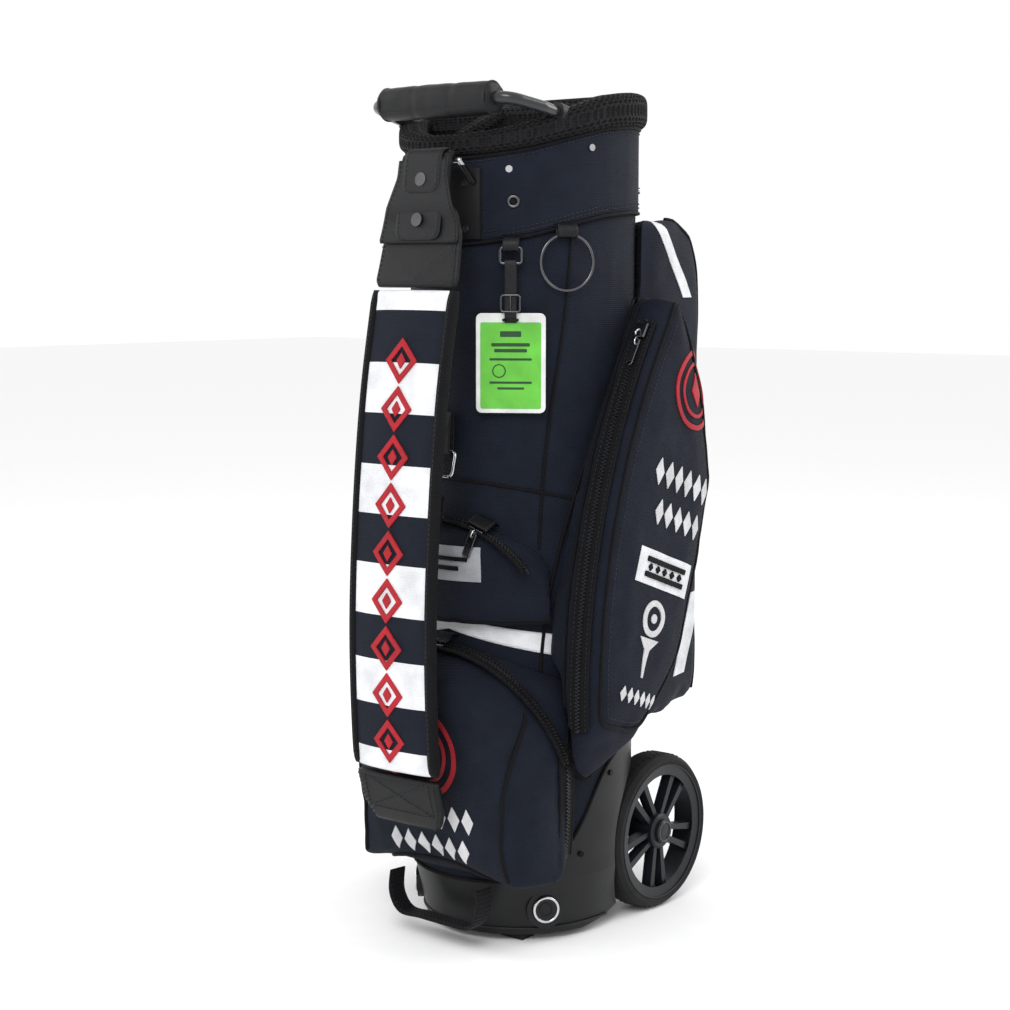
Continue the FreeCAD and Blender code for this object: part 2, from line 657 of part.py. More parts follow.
def wheel_rim(side):
    """A one-piece wheel: a barrel and a hub joined by five twin spokes."""
    name = f"wheel_rim_{side}"
    barrel, window = dim("rim_radius"), dim("window_radius")
    half, hub, bore = dim("rim_barrel") * 0.5, dim("hub_radius"), dim("bush_radius")
    wide = dim("hub_width") * 0.5
    rim = [(barrel, -half), (barrel, half + 3), (window, half + 1), (window + 5, half - 4),
           (window + 6, -half)]
    body = revolved(name, "XZ", rim, "V_Axis")
    hub_sketch = body.newObject("Sketcher::SketchObject", f"{name}_hub")
    hub_sketch.AttachmentSupport = (origin_plane(body, "XZ"), [""])
    hub_sketch.MapMode = "FlatFace"
    outline(hub_sketch, [(bore, -wide), (bore, wide), (hub - 2, wide), (hub, wide - 2), (hub, -wide)])
    hub_turn = body.newObject("PartDesign::Revolution", f"{name}_hub_turn")
    hub_turn.Profile = hub_sketch
    hub_turn.ReferenceAxis = (hub_sketch, ["V_Axis"])
    hub_turn.Angle = 360.0
    doc.recompute()
    width, gap, deep = dim("spoke_width"), dim("spoke_gap"), dim("spoke_depth")
    spokes = body.newObject("Sketcher::SketchObject", f"{name}_spokes")
    spokes.AttachmentSupport = (origin_plane(body, "XY"), [""])
    spokes.MapMode = "FlatFace"
    inner_x, outer_x = hub - 3, window + 4
    for sign in (1, -1):
        near, far = gap * (0.32 * sign), gap * (0.95 * sign)
        thick_near, thick_far = width * (0.8 * sign), width * (1.15 * sign)
        outline(spokes, [(inner_x, near), (outer_x, far), (outer_x, far + thick_far),
                         (inner_x, near + thick_near)])
    pad = body.newObject("PartDesign::Pad", f"{name}_spoke_pad")
    pad.Profile = spokes
    pad.Type = "Length"
    bind(pad, Length=deep)
    doc.recompute()
    pattern = body.newObject("PartDesign::PolarPattern", f"{name}_pattern")
    pattern.Originals = [pad]
    pattern.Axis = (next(f for f in body.Origin.OriginFeatures if f.Role == "Z_Axis"), [""])
    pattern.Angle = 360.0
    pattern.Occurrences = 5
    body.Tip = pattern
    return on_axle(part_of(name, body), side)


def hub_pieces(side):
    """The bush in the hub and the cap over its outer end."""
    wide, bore, pin = dim("hub_width") * 0.5, dim("bush_radius"), dim("axle_radius") + dim("axle_clearance")
    end = wide - 0.5
    sleeve = [(pin, -wide), (pin, end), (bore - 0.1, end), (bore - 0.1, -wide)]
    bush = revolved(f"wheel_bush_{side}", "XZ", sleeve, "V_Axis")
    on_axle(part_of(f"wheel_bush_{side}", bush), side)
    start, radius = wide + 0.3, dim("hub_cap_radius")
    end = start + dim("hub_cap_thickness")
    dish = [(0, start + 2), (0, end - 1), (radius - 4, end - 1), (radius - 3, end), (radius - 1.5, end),
            (radius, end - 1.5), (radius, start), (radius - 3, start), (radius - 3, start + 2)]
    cap = revolved(f"hub_cap_{side}", "XZ", dish, "V_Axis")
    on_axle(part_of(f"hub_cap_{side}", cap), side)


def axle():
    """One steel pin through the boot, with a head at each end that keeps its wheel on."""
    reach = dim("wheel_x") + dim("hub_width") * 0.5 + 1.2
    centre = (dim("wheel_y"), dim("wheel_radius"))
    pin = rod("axle_pin", dim("axle_radius"), reach * 2, (-reach, *centre), X)
    heads = [rod(f"axle_head_{side}", dim("axle_radius") + 3, 1.4, ((reach - 1.4) * sign, *centre), X * sign)
             for side, sign in SIDES.items()]
    part_of("axle", fuse("axle", pin, *heads))


# ---------------------------------------------------------------- zips

def zip_frame(y, z, tilt):
    """The plane of a front zip arch: local Z is the ring's axis and local -Y points to the arch's top."""
    return spot(0, y, z, turned(X, -tilt))


def park(frame, degrees):
    """A frame whose local -Y points to the place on the ring where the slider is parked."""
    return frame * spot(rotation=turned(Z, degrees))


def sector(name, radius, width, sweep, first=-90.0):
    """A slice of a disc about local Z, centred on the plane z = 0."""
    made = bind(doc.addObject("Part::Cylinder", name), Radius=radius, Height=width, Angle=sweep)
    made.Placement = spot(0, 0, -number(width) / 2, turned(Z, first))
    return made


def zip_band(name, radius, frame, sweep, first):
    """The toothed band: an arc of a ring, from the angle first through sweep, with +X as the zero angle."""
    outer = sector(f"{name}_outer", radius + dim("zip_thickness"), dim("zip_width"), sweep, first)
    inner = rod(f"{name}_inner", radius, dim("zip_width") + 4, (0, 0, -DIMENSIONS["zip_width"] / 2 - 2))
    band = cut(f"{name}_band", outer, inner)
    band.Placement = frame
    return band


def slider_and_pull(zip_name, frame, radius, pivot, aim):
    """A slider just outside the band where local -Y points, and the pull that hangs from its pivot.

    pivot is the pull's pivot beside the slider, and aim turns the pull from pointing along local -Z.
    """
    length, height, width = dim("slider_length"), dim("slider_height"), dim("zip_width")
    base = number(radius) + DIMENSIONS["zip_thickness"] + 0.4
    block = box(f"{zip_name}_block", length, height, width,
                (-length.value / 2, -base - height.value, -width.value / 2))
    slider = rounded(f"{zip_name}_slider", block, 1.6)
    slider.Placement = frame
    pull = pull_plate(zip_name)
    pull.Placement = frame * spot(pivot[0], -base - height.value * 0.5, pivot[1]) * spot(rotation=aim)
    return slider, pull


def pull_plate(zip_name):
    """A pull that hangs along -Z from a round barrel on its hinge line, the X axis."""
    drop, broad, thick = dim("pull_length"), dim("pull_width"), dim("pull_thickness")
    plate = box(f"{zip_name}_plate", broad, thick, drop, (-broad.value / 2, -thick.value / 2, -drop.value))
    barrel = rod(f"{zip_name}_barrel", dim("pull_barrel"), broad - 1, (-broad.value / 2 + 0.5, 0, 0), X)
    return fuse(f"{zip_name}_pull", rounded(f"{zip_name}_blade", plate, 0.9), barrel)


def rounded(name, block, radius):
    """All edges of a block rounded to one radius."""
    made = doc.addObject("Part::Fillet", name)
    made.Base = block
    doc.recompute()
    made.Edges = [(i, radius, radius) for i in range(1, len(block.Shape.Edges) + 1)]
    return made


def zip_end():
    """How far along the zip's axis a pull's pivot is from the middle of the slider."""
    return -(DIMENSIONS["zip_width"] / 2 + 2.4)


# ---------------------------------------------------------------- front pockets

def arch_zone(name, frame, radius, half_width):
    """Everything under a zip arch: a cylinder about the arch's axis, with a broad leg down from it."""
    dome = rod(f"{name}_dome", radius, 400, (0, 0, -200))
    leg = box(f"{name}_leg", half_width * 2, 320, 400, (-number(half_width), 0, -200))
    zone = fuse(name, dome, leg)
    zone.Placement = frame
    return zone


def ball_frame():
    return zip_frame(DIMENSIONS["ball_zip_y"], DIMENSIONS["ball_zip_z"], DIMENSIONS["ball_zip_tilt"])


def ball_pocket():
    """The big pocket round the front: an upright front face, and a top that slopes along the zip's axis."""
    low, front, half = dim("ball_low_z"), dim("ball_front"), dim("ball_half_width")
    side_view = [(-30, low), (-front + 30, low), (-front + 6, low + 18), (-front, low + 56), (-front, 284),
                 (-front + 9, 301), (-130, 336), (-30, 336)]
    left = [(-half + 22, -50), (-half, -82), (-half, -100), (-half + 8, -128), (-half + 28, -front + 14),
            (-half + 52, -front)]
    plan = left + [(-x, y) for x, y in left[::-1]]
    profile = slab("ball_profile", "YZ", side_view, 140)
    column = extruded("ball_column", drawn("ball_plan", "XY", plan), 400)
    arch = arch_zone("ball_arch", ball_frame(), dim("ball_zip_radius") - 0.3, half)
    clear = between("ball_over_boot", boot_line(5), [(-200, 400), (150, 400)])
    whole = common("ball_whole", profile, column, arch, clear)
    part_of("ball_pocket", cut("ball_pocket", whole, outside_of_tube("ball", 20, 420)))
    part_of("ball_zip", zip_band("ball_zip", dim("ball_zip_radius"), ball_frame(), 180, -180))
    slider, pull = slider_and_pull("ball", ball_frame(), dim("ball_zip_radius"), (0, zip_end()),
                                   FreeCAD.Rotation())
    part_of("ball_slider", slider)
    part_of("ball_pull", pull)


def outside_of_tube(name, low, high):
    """The tube's solid volume with its clearance, to cut out of a pocket that wraps it."""
    gap = dim("gap")
    return oval(f"{name}_tube", dim("tube_rx") + gap, dim("tube_ry") + gap, low, high)


def small_pocket():
    """The flat pocket above the ball pocket; it wraps the tube."""
    frame = zip_frame(DIMENSIONS["small_zip_y"], DIMENSIONS["small_zip_z"], DIMENSIONS["small_zip_tilt"])
    low, front = dim("small_low_z"), dim("small_front")
    side_view = [(-40, low), (-front, low), (-front, 430), (-front + 6, 458), (-120, 475), (-40, 475)]
    profile = slab("small_profile", "YZ", side_view, 140)
    face = oval("small_face", dim("tube_rx") + 11, front, 300, 500)
    arch = arch_zone("small_arch", frame, dim("small_zip_radius") - 0.3, dim("small_zip_radius") - 0.3)
    whole = common("small_whole", profile, face, arch)
    taken = fuse("small_taken", outside_of_tube("small", 300, 500), side_pocket_rooms())
    part_of("small_pocket", cut("small_pocket", whole, taken))
    part_of("small_zip", zip_band("small_zip", dim("small_zip_radius"), frame, 120, -150))
    slider, pull = slider_and_pull("small", park(frame, DIMENSIONS["small_park"]), dim("small_zip_radius"),
                                   (0, zip_end()), turned(X, DIMENSIONS["small_zip_tilt"]))
    part_of("small_slider", slider)
    part_of("small_pull", pull)


def side_pocket_rooms():
    """What the two side pockets take up near the small pocket: everything behind their long front arcs."""
    centre = (DIMENSIONS["side_arc_y"], DIMENSIONS["side_arc_z"])
    rooms = [rod(f"small_side_{side}", dim("side_edge_arc") - 5, 100, (40 * sign, *centre), X * sign)
             for side, sign in SIDES.items()]
    return fuse("small_side_rooms", *rooms)


# ---------------------------------------------------------------- side and back pockets

def side_section(x, radius, outline_from, share):
    """The side pocket's outline at a distance from the tube's axis: an arc in front, then its lower points.

    share takes the lower points from outline_from, at 0, to the face's, at 1.
    """
    top = DIMENSIONS["side_arc_top"]
    low = -(SIDE_EDGE_LOW + (SIDE_FACE_LOW - SIDE_EDGE_LOW) * share)
    front = []
    for step in range(7):
        angle = math.radians(top + (low - top) * step / 6)
        front.append((dim("side_arc_y") - radius * math.cos(angle),
                      dim("side_arc_z") + radius * math.sin(angle)))
    rest = [(e[0] + (f[0] - e[0]) * share, e[1] + (f[1] - e[1]) * share)
            for e, f in zip(outline_from, SIDE_FACE_REST)]
    return drawn(f"side_{int(x.value)}", "YZ", front + rest, x)


def side_pocket():
    shelf = dim("side_zip_arc") - 0.3
    stages = ((dim("side_root_x"), dim("side_root_arc"), SIDE_ROOT_REST, 0),
              (dim("side_edge_x"), dim("side_edge_arc"), SIDE_EDGE_REST, 0),
              (dim("side_shelf_x"), shelf, SIDE_EDGE_REST, 0.3),
              (dim("side_shelf_end_x"), shelf, SIDE_EDGE_REST, 0.7),
              (dim("side_face_x"), dim("side_face_arc"), SIDE_EDGE_REST, 1))
    loft = doc.addObject("Part::Loft", "side_loft")
    loft.Sections = [side_section(*stage) for stage in stages]
    loft.Solid = True
    loft.Ruled = True
    ball_reach, ball_half = dim("ball_zip_radius") + 9, dim("ball_half_width") + 2
    ball_room = arch_zone("side_ball_room", ball_frame(), ball_reach, ball_half)
    front_half = box("side_front_half", 140, 300, 360, (0, -300, 0))
    room = common("side_room", ball_room, front_half)
    collar_zone = oval("side_collar", dim("collar_rx") + 0.5, dim("collar_ry") + 0.5, 690, 800)
    taken = fuse("side_taken", outside_of_tube("side", 150, 800), room, collar_zone, back_room("side_back"))
    right = cut("side_pocket_right", loft, taken)
    frame = side_frame(DIMENSIONS["side_zip_top"])
    band = zip_band("side_zip", dim("side_zip_arc"), frame, dim("side_zip_sweep"), -90)
    parked = park(frame, 1.2)
    slider, pull = slider_and_pull("side", parked, dim("side_zip_arc"),
                                   (DIMENSIONS["slider_length"] / 2 + 2.4, 0), turned(Y, -90))
    pieces = (("side_pocket", right), ("side_zip", band), ("side_slider", slider), ("side_pull", pull))
    for label, shape in pieces:
        part_of(f"{label}_right", shape)
        part_of(f"{label}_left", mirrored(f"{label}_left", shape))


def side_frame(angle):
    """Local Z runs along +X on the side zip's axis, and local -Y points to the angle above the front."""
    centre = (dim("side_shelf_x") + dim("side_shelf_end_x")) * 0.5
    level = FreeCAD.Rotation(-Z, Y, X, "ZYX")
    return spot(centre.value, DIMENSIONS["side_arc_y"], DIMENSIONS["side_arc_z"], turned(X, -angle) * level)


def back_plan(name, extra, low, high):
    half, root, reach = dim("back_half") + extra, dim("back_root_half") + extra, dim("back_reach") + extra
    corners = [(-root, 30), (root, 30), (root, 92), (half, reach - 26), (half - 24, reach),
               (-half + 24, reach), (-half, reach - 26), (-root, 92)]
    column = extruded(name, drawn(f"{name}_plan", "XY", corners), high - low)
    column.Placement = spot(0, 0, low)
    return column


def back_room(name):
    """The back pocket's volume with clearance, which the side pockets keep out of."""
    return back_plan(name, 0.5, 100, 800)


def back_pocket():
    low, top, reach = dim("back_low_z"), dim("back_top_z"), dim("back_reach")
    side_view = [(30, low + 6), (120, low), (reach - 18, low + 10), (reach, low + 44), (reach, top - 92),
                 (reach - 34, top - 22), (150, top), (30, top)]
    profile = slab("back_profile", "YZ", side_view, 140)
    solid = common("back_whole", profile, back_plan("back_column", 0, 150, 850))
    above_wheels = wheel_rods("back_wheel_room", dim("arch_radius") + dim("arch_wall") + 1, 60, 140)
    boot_top = between("back_boot_room", [(-150, 0), (150, 0)], boot_line(4))
    collar_zone = oval("back_collar", dim("collar_rx") + 0.5, dim("collar_ry") + 0.5, 690, 800)
    inner_boot = common("back_boot", boot_top, oval("back_boot_oval", 125, 130, 0, 300))
    taken = fuse("back_taken", outside_of_tube("back", 100, 900), above_wheels, inner_boot, collar_zone)
    part_of("back_pocket", cut("back_pocket", solid, taken))
    long, width, thick = dim("back_zip_length"), dim("zip_width"), dim("zip_thickness")
    start = (DIMENSIONS["back_zip_x"] - width.value / 2, reach.value + 0.3, DIMENSIONS["back_zip_low"])
    part_of("back_zip", box("back_zip", width, thick, long, start))
    top_z = DIMENSIONS["back_zip_low"] + long.value - DIMENSIONS["slider_length"]
    face = reach.value + 0.3 + thick.value + 0.4
    slider = rounded("back_slider", box("back_block", width, dim("slider_height"), dim("slider_length"),
                                        (start[0], face, top_z)), 1.6)
    part_of("back_slider", slider)
    pull = pull_plate("back")
    pull.Placement = spot(DIMENSIONS["back_zip_x"], face + 2.5, top_z - 2.4)
    part_of("back_pull", pull)


# ---------------------------------------------------------------- shoulder strap

def side_strip(name, line, thickness, half):
    return slab(name, "YZ", strip_corners(line, number(thickness)), half)


def z_zone(name, low, high):
    return box(name, 400, 400, high - low, (-200, -300, low))


def anchor():
    """A riveted plate that follows the collar, with the steel bar that the strap hangs from."""
    rx, ry, thick = dim("collar_rx") + 0.4, dim("collar_ry") + 0.4, dim("anchor_thickness")
    low, high, half = dim("anchor_low_z"), dim("anchor_top_z"), dim("anchor_half")
    ring = oval_ring("anchor", rx + thick, ry + thick, thick, low, high)
    front = box("anchor_front", half * 2, 100, 200, (-half.value, -180, 700))
    plate = common("anchor_plate", ring, front)
    reach, bar_y, bar_z = dim("bar_half_length"), dim("bar_y"), dim("bar_z")
    bar = rod("bar_cross", dim("bar_radius"), reach * 2, (-reach, bar_y, bar_z), X)
    legs = [bar]
    for side, sign in SIDES.items():
        foot = FreeCAD.Vector(sign * reach.value, -128.6, high.value - 14)
        top = FreeCAD.Vector(sign * reach.value, bar_y.value, bar_z.value)
        legs.append(rod(f"bar_leg_{side}", dim("bar_radius"), (foot - top).Length, top, foot - top))
        legs.append(ball(f"bar_knee_{side}", dim("bar_radius"), top))
    whole_bar = fuse("bar_bent", *legs)
    part_of("strap_bar", cut("strap_bar", whole_bar, oval("bar_trim", rx + thick, ry + thick, 700, 900)))
    part_of("strap_anchor", plate)


def ball(name, radius, centre):
    made = bind(doc.addObject("Part::Sphere", name), Radius=radius)
    made.Placement = spot(*centre)
    return made


def strap():
    """The strap hangs from the bar: a leather yoke and end cap on a padded, striped strip."""
    half, narrow, thick = dim("strap_half_width"), dim("yoke_half_width"), dim("strap_thickness")
    run = side_strip("strap_side", STRAP_LINE, thick, half)
    yoke_run = common("yoke_low", run, z_zone("yoke_z", 702, 772))
    yoke_line = fuse("yoke_line", slab("yoke_fold", "YZ", list(YOKE_FOLD), half), yoke_run)
    yoke_shape = [(-half, 700), (half, 700), (half - 4, 748), (narrow, 800), (narrow, 850), (-narrow, 850),
                  (-narrow, 800), (-half + 4, 748)]
    front = extruded("yoke_front", drawn("yoke_outline", "XZ", yoke_shape), 300, 0)
    bore = rod("yoke_bore", dim("bar_radius") + 0.3, 200, (-100, dim("bar_y"), dim("bar_z")), X)
    part_of("strap_yoke", cut("strap_yoke", common("yoke_trimmed", yoke_line, front), bore))
    pad_run = side_strip("pad_side", STRAP_LINE, thick, half)
    part_of("strap_pad", common("strap_pad", pad_run, z_zone("pad_z", 200.5, 701.5)))
    end_shape = [(-half, 201), (half, 201), (half, 168), (half - 16, 130), (-half + 16, 130), (-half, 168)]
    end_front = extruded("end_front", drawn("end_outline", "XZ", end_shape), 300, 0)
    end_run = side_strip("end_side", STRAP_LINE, thick, half)
    part_of("strap_end", common("strap_end", end_run, end_front, z_zone("end_z", 130, 200)))
    tongue = dim("tongue_thickness")
    inner = [(-distance, height) for distance, height in TONGUE_LINE]
    outer = [(-distance - tongue, height + lift)
             for (distance, height), lift in zip(TONGUE_LINE, (2, 0, 0))]
    part_of("strap_tongue", slab("strap_tongue", "YZ", inner + outer[::-1], dim("tongue_half_width")))
    snaps = [rod(f"snap_{z}", dim("snap_radius"), 2, (0, -distance - tongue, z), SNAP_FACING)
             for distance, z in SNAPS]
    part_of("strap_snaps", group("strap_snaps", *snaps))


def strap_link():
    """Behind the strap: a tab on the tube's spine, a D-ring, a hook and the web to the strap's end."""
    ring_y, ring_z, wire = -131.5, dim("spine_tab_low") + 4, dim("wire_radius")
    half, drop = dim("spine_ring_half"), dim("spine_ring_drop")
    tab = box("spine_tab_block", dim("spine_tab_half") * 2, 8, dim("spine_tab_top") - dim("spine_tab_low"),
              (-DIMENSIONS["spine_tab_half"], -135, dim("spine_tab_low")))
    hollow = fuse("spine_tab_room", outside_of_tube("spine", 400, 700),
                  rod("spine_tab_bore", wire + 0.3, 60, (-30, ring_y, ring_z), X))
    part_of("spine_tab", cut("spine_tab", tab, hollow))
    low = FreeCAD.Vector(0, ring_y - 7, ring_z.value - drop.value)
    top = FreeCAD.Vector(0, ring_y, ring_z.value)
    part_of("spine_ring", d_ring("spine_ring", half, top, low, wire, 5.0))
    body = slab("hook_body", "YZ", list(HOOK), 6)
    eye = rod("hook_eye", wire + 0.4, 60, (-30, low.y, low.z), X)
    part_of("swivel_hook", cut("swivel_hook", body, eye))
    part_of("strap_web", side_strip("strap_web", WEB_LINE, dim("web_thickness"), dim("web_half_width")))


def d_ring(name, half, top, low, wire, corner):
    """A rectangular wire ring with round corners: its straight bar at top, the other side at low."""
    across = X * half.value
    path = closed_rounded_wire([top - across, top + across, low + across, low - across], corner)
    spine = doc.addObject("Part::Feature", f"{name}_path")
    spine.Shape = path
    start = path.Edges[0]
    section = bind(doc.addObject("Part::Circle", f"{name}_section"), Radius=wire)
    along = start.tangentAt(start.FirstParameter)
    section.Placement = spot(*start.Vertexes[0].Point, FreeCAD.Rotation(Z, along))
    ring = doc.addObject("Part::Sweep", name)
    ring.Sections = [section]
    ring.Spine = (spine, [f"Edge{i + 1}" for i in range(len(path.Edges))])
    ring.Solid = True
    return ring


def closed_rounded_wire(corners, radius):
    """A closed path of straight runs joined by tangent arcs of one radius."""
    count = len(corners)
    runs, arcs = [], []
    for i, corner in enumerate(corners):
        into = (corner - corners[i - 1]).normalize()
        out = (corners[(i + 1) % count] - corner).normalize()
        half_turn = into.getAngle(out) / 2
        trim = radius * math.tan(half_turn)
        middle = corner + (out - into).normalize() * (radius / math.cos(half_turn) - radius)
        arcs.append((corner - into * trim, middle, corner + out * trim))
    for i in range(count):
        runs.append(Part.LineSegment(arcs[i][2], arcs[(i + 1) % count][0]).toShape())
        runs.append(Part.Arc(*arcs[(i + 1) % count]).toShape())
    return Part.Wire(runs)


# ---------------------------------------------------------------- tag, towel ring, studs and lift loop

def around(angle, radius, z):
    """An upright frame at an angle from the front towards the right: local -Y points away from the tube."""
    turn = math.radians(angle)
    return spot(radius * math.sin(turn), -radius * math.cos(turn), z, turned(Z, angle))


def hung_tab(name, frame, width, low, high, depth, wire, slack=0.3):
    """A leather tab on the collar, bored near its lower end for a ring's wire."""
    block = box(f"{name}_block", width, depth, high - low, (-width / 2, -depth / 2, low))
    bore = rod(f"{name}_bore", wire + slack, 40, (-20, 0, 0), X)
    tab = cut(f"{name}_bored", block, bore)
    tab.Placement = frame
    return part_of(name, tab)


def towel_ring():
    wire, radius = dim("wire_radius"), dim("towel_radius")
    frame = around(DIMENSIONS["towel_angle"], DIMENSIONS["towel_out"], DIMENSIONS["towel_z"])
    ring = bind(doc.addObject("Part::Torus", "towel_ring"), Radius1=radius, Radius2=wire)
    ring.Placement = frame * spot(0, 0, -radius.value, turned(X, 90))
    part_of("towel_ring", ring)
    hung_tab("towel_tab", frame, 15, -5, 37, 7, wire, 1.3)


def bag_tag():
    """A luggage-style tag: a ring in a leather tab, a buckled strap through the ring, and a card."""
    wire, half = dim("wire_radius"), dim("tag_ring_half")
    frame = around(DIMENSIONS["tag_angle"], DIMENSIONS["tag_out"], DIMENSIONS["tag_ring_z"])
    hung_tab("tag_tab", frame, 14, -5, 26, 6, wire)
    ring = d_ring("tag_ring_flat", half, ORIGIN, FreeCAD.Vector(0, 0, -16), wire, 3.0)
    ring.Placement = frame
    part_of("tag_ring", ring)
    width, thick = dim("tag_strap_width"), dim("tag_thickness")
    drop = DIMENSIONS["tag_ring_z"] - DIMENSIONS["tag_top_z"]
    band = box("tag_band", width, 7, drop - 9, (-width.value / 2, -3.5, -drop - 4))
    eye = rod("tag_eye", wire + 0.4, 40, (-20, 0, -16), X)
    slot = box("tag_slot", 40, thick + 0.6, 20, (-20, -thick.value / 2 - 0.3, -drop - 12))
    strap_piece = cut("tag_strap", cut("tag_band_open", band, eye), slot)
    strap_piece.Placement = frame
    part_of("tag_strap", strap_piece)
    card = box("tag_plate", dim("tag_width"), thick, dim("tag_height"), (0, 0, 0))
    card.Placement = frame * spot(-DIMENSIONS["tag_width"] / 2, -thick.value / 2,
                                  -drop - DIMENSIONS["tag_height"])
    part_of("tag_card", card)


def fixings():
    """Rivets on the anchor plate, studs round the collar and the screws of the boot."""
    pieces = boot_screws()
    radius, height = dim("stud_radius"), dim("stud_height")
    for side, sign in SIDES.items():
        for x, z in ((27, 809), (28, 762)):
            out = dim("collar_ry") + dim("anchor_thickness")
            y = -math.sqrt(1 - (x / (DIMENSIONS["collar_rx"] + 4.4)) ** 2) * (out.value + 0.4) - 0.85
            pieces.append(rod(f"rivet_{side}_{z}", radius, height, (sign * x, y, z), -Y))
        for angle, z in ((33, 823), (74, 846), (128, 806)):
            turn = math.radians(angle)
            face = FreeCAD.Vector(sign * DIMENSIONS["collar_rx"] * math.sin(turn),
                                  -DIMENSIONS["collar_ry"] * math.cos(turn), z)
            out = FreeCAD.Vector(face.x, face.y, 0).normalize()
            pieces.append(rod(f"stud_{side}_{angle}", radius, height, face + out * 0.35, out))
    part_of("fixings", group("fixings", *pieces))


def lift_loop():
    """A web loop under the ball pocket, for lifting the bag's foot into a car."""
    half, low, top, thick = dim("loop_half"), dim("loop_low_z"), dim("loop_top_z"), dim("loop_thickness")
    outer = [(-half, top), (-half, low + 18), (-half + 16, low), (half - 16, low), (half, low + 18),
             (half, top)]
    inner = [(half - thick, top), (half - thick, low + 20), (half - 17, low + thick),
             (-half + 17, low + thick), (-half + thick, low + 20), (-half + thick, top)]
    web = extruded("lift_loop", drawn("loop_outline", "XZ", outer + inner), dim("loop_width"))
    web.Placement = spot(0, DIMENSIONS["loop_y"] + DIMENSIONS["loop_width"] / 2, 0)
    part_of("lift_loop", web)


def place_in_frame():
    """Moves every sub-part so that the origin is under the middle of the outline.

    A mirrored piece follows its source, which has been moved already.
    """
    shift = FreeCAD.Vector(0, DIMENSIONS["axis_shift"], 0)
    for piece in (p for p in sub_parts if p.TypeId != "Part::Mirroring"):
        placement = piece.Placement
        placement.Base = placement.Base + shift
        piece.Placement = placement


def save_parts():
    os.makedirs("parts", exist_ok=True)
    for piece in doc.Objects:
        if "Invalid" in piece.State or "Error" in piece.State:
            raise RuntimeError(f"{piece.Label} failed")
    for piece in sub_parts:
        if piece.Shape.isNull() or not piece.Shape.isValid() or not piece.Shape.Solids:
            raise RuntimeError(f"{piece.Label} has no valid solid")
        piece.Shape.exportStep(f"parts/{piece.Label}.step")


def main():
    fill_sheet()
    body_shell()
    collar()
    mouth_frame()
    mouth_padding()
    divider_padding()
    divider_panels()
    handle()
    base_boot()
    boot_fittings()
    for side in SIDES:
        tyre(side)
        wheel_rim(side)
        hub_pieces(side)
    axle()
    ball_pocket()
    small_pocket()
    side_pocket()
    back_pocket()
    anchor()
    strap()
    strap_link()
    towel_ring()
    bag_tag()
    fixings()
    lift_loop()
    doc.recompute()
    place_in_frame()
    doc.recompute()
    save_parts()


main()
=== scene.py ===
"""Looks for a wheeled golf bag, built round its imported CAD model. Metres, +Z up; the front faces -Y."""

import json
import math

import bmesh
import bpy
from mathutils import Matrix, Vector, noise
from mathutils.bvhtree import BVHTree
from mathutils.kdtree import KDTree


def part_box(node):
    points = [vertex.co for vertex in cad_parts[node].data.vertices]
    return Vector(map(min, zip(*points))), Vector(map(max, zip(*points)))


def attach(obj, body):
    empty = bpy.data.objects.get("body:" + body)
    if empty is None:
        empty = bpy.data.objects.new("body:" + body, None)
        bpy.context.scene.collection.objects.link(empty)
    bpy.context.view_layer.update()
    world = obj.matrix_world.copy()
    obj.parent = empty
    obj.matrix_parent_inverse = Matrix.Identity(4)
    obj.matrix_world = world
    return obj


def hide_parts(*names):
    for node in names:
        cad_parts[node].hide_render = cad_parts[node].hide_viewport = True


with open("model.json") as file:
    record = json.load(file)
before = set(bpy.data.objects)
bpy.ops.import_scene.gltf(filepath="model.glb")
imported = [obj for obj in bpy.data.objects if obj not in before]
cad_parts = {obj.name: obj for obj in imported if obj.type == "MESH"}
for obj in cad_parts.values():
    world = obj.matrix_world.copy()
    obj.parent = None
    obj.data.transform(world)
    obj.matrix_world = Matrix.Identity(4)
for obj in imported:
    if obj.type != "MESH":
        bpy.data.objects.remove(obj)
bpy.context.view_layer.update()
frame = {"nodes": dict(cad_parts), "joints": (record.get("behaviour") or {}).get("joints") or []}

SIDES = {"right": 1, "left": -1}
UP = Vector((0, 0, 1))
RIGHT = Vector((1, 0, 0))
BACK = Vector((0, 1, 0))
FRONT = BACK * -1
PIPING = 0.0021  # radius of the cords round the pockets

# ---------------------------------------------------------------- places taken from the frame

shell_low, shell_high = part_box("body_shell")
TUBE_RX = shell_high.x
TUBE_RY = (shell_high.y - shell_low.y) / 2
AXIS_Y = (shell_high.y + shell_low.y) / 2
JOINTS = {joint["name"]: joint for joint in frame["joints"]}

# How far the slanted collar lines have risen, from 0 in front to 1 behind, at shares of the tube's depth.
SLANT = ((-1.15, 0.0), (-0.78, 0.30), (-0.48, 0.62), (-0.16, 0.88), (0.25, 1.0), (1.15, 1.0))
# The boot's top edge: share of the tube's depth, share of its climb.
BOOT_CLIMB = ((-1.15, 0.0), (-0.72, 0.03), (-0.40, 0.32), (-0.10, 0.80), (0.16, 0.95), (0.48, 1.0),
              (1.15, 1.0))
COLLAR_LOW, COLLAR_TOP, RIM_TOP = (0.744, 0.782), (0.830, 0.870), (0.850, 0.906)
BOOT_TOP = (0.066, 0.212)


def step_between(table, share):
    """Straight-line value of a table of (place, value) pairs."""
    for (a, low), (b, high) in zip(table, table[1:]):
        if share <= b:
            return low + (high - low) * max(0.0, (share - a) / (b - a))
    return table[-1][1]


def eased(table, share, reach=0.09):
    """The same with its corners rounded off."""
    return sum(step_between(table, share + reach * k) for k in (-1, -0.5, 0, 0.5, 1)) / 5


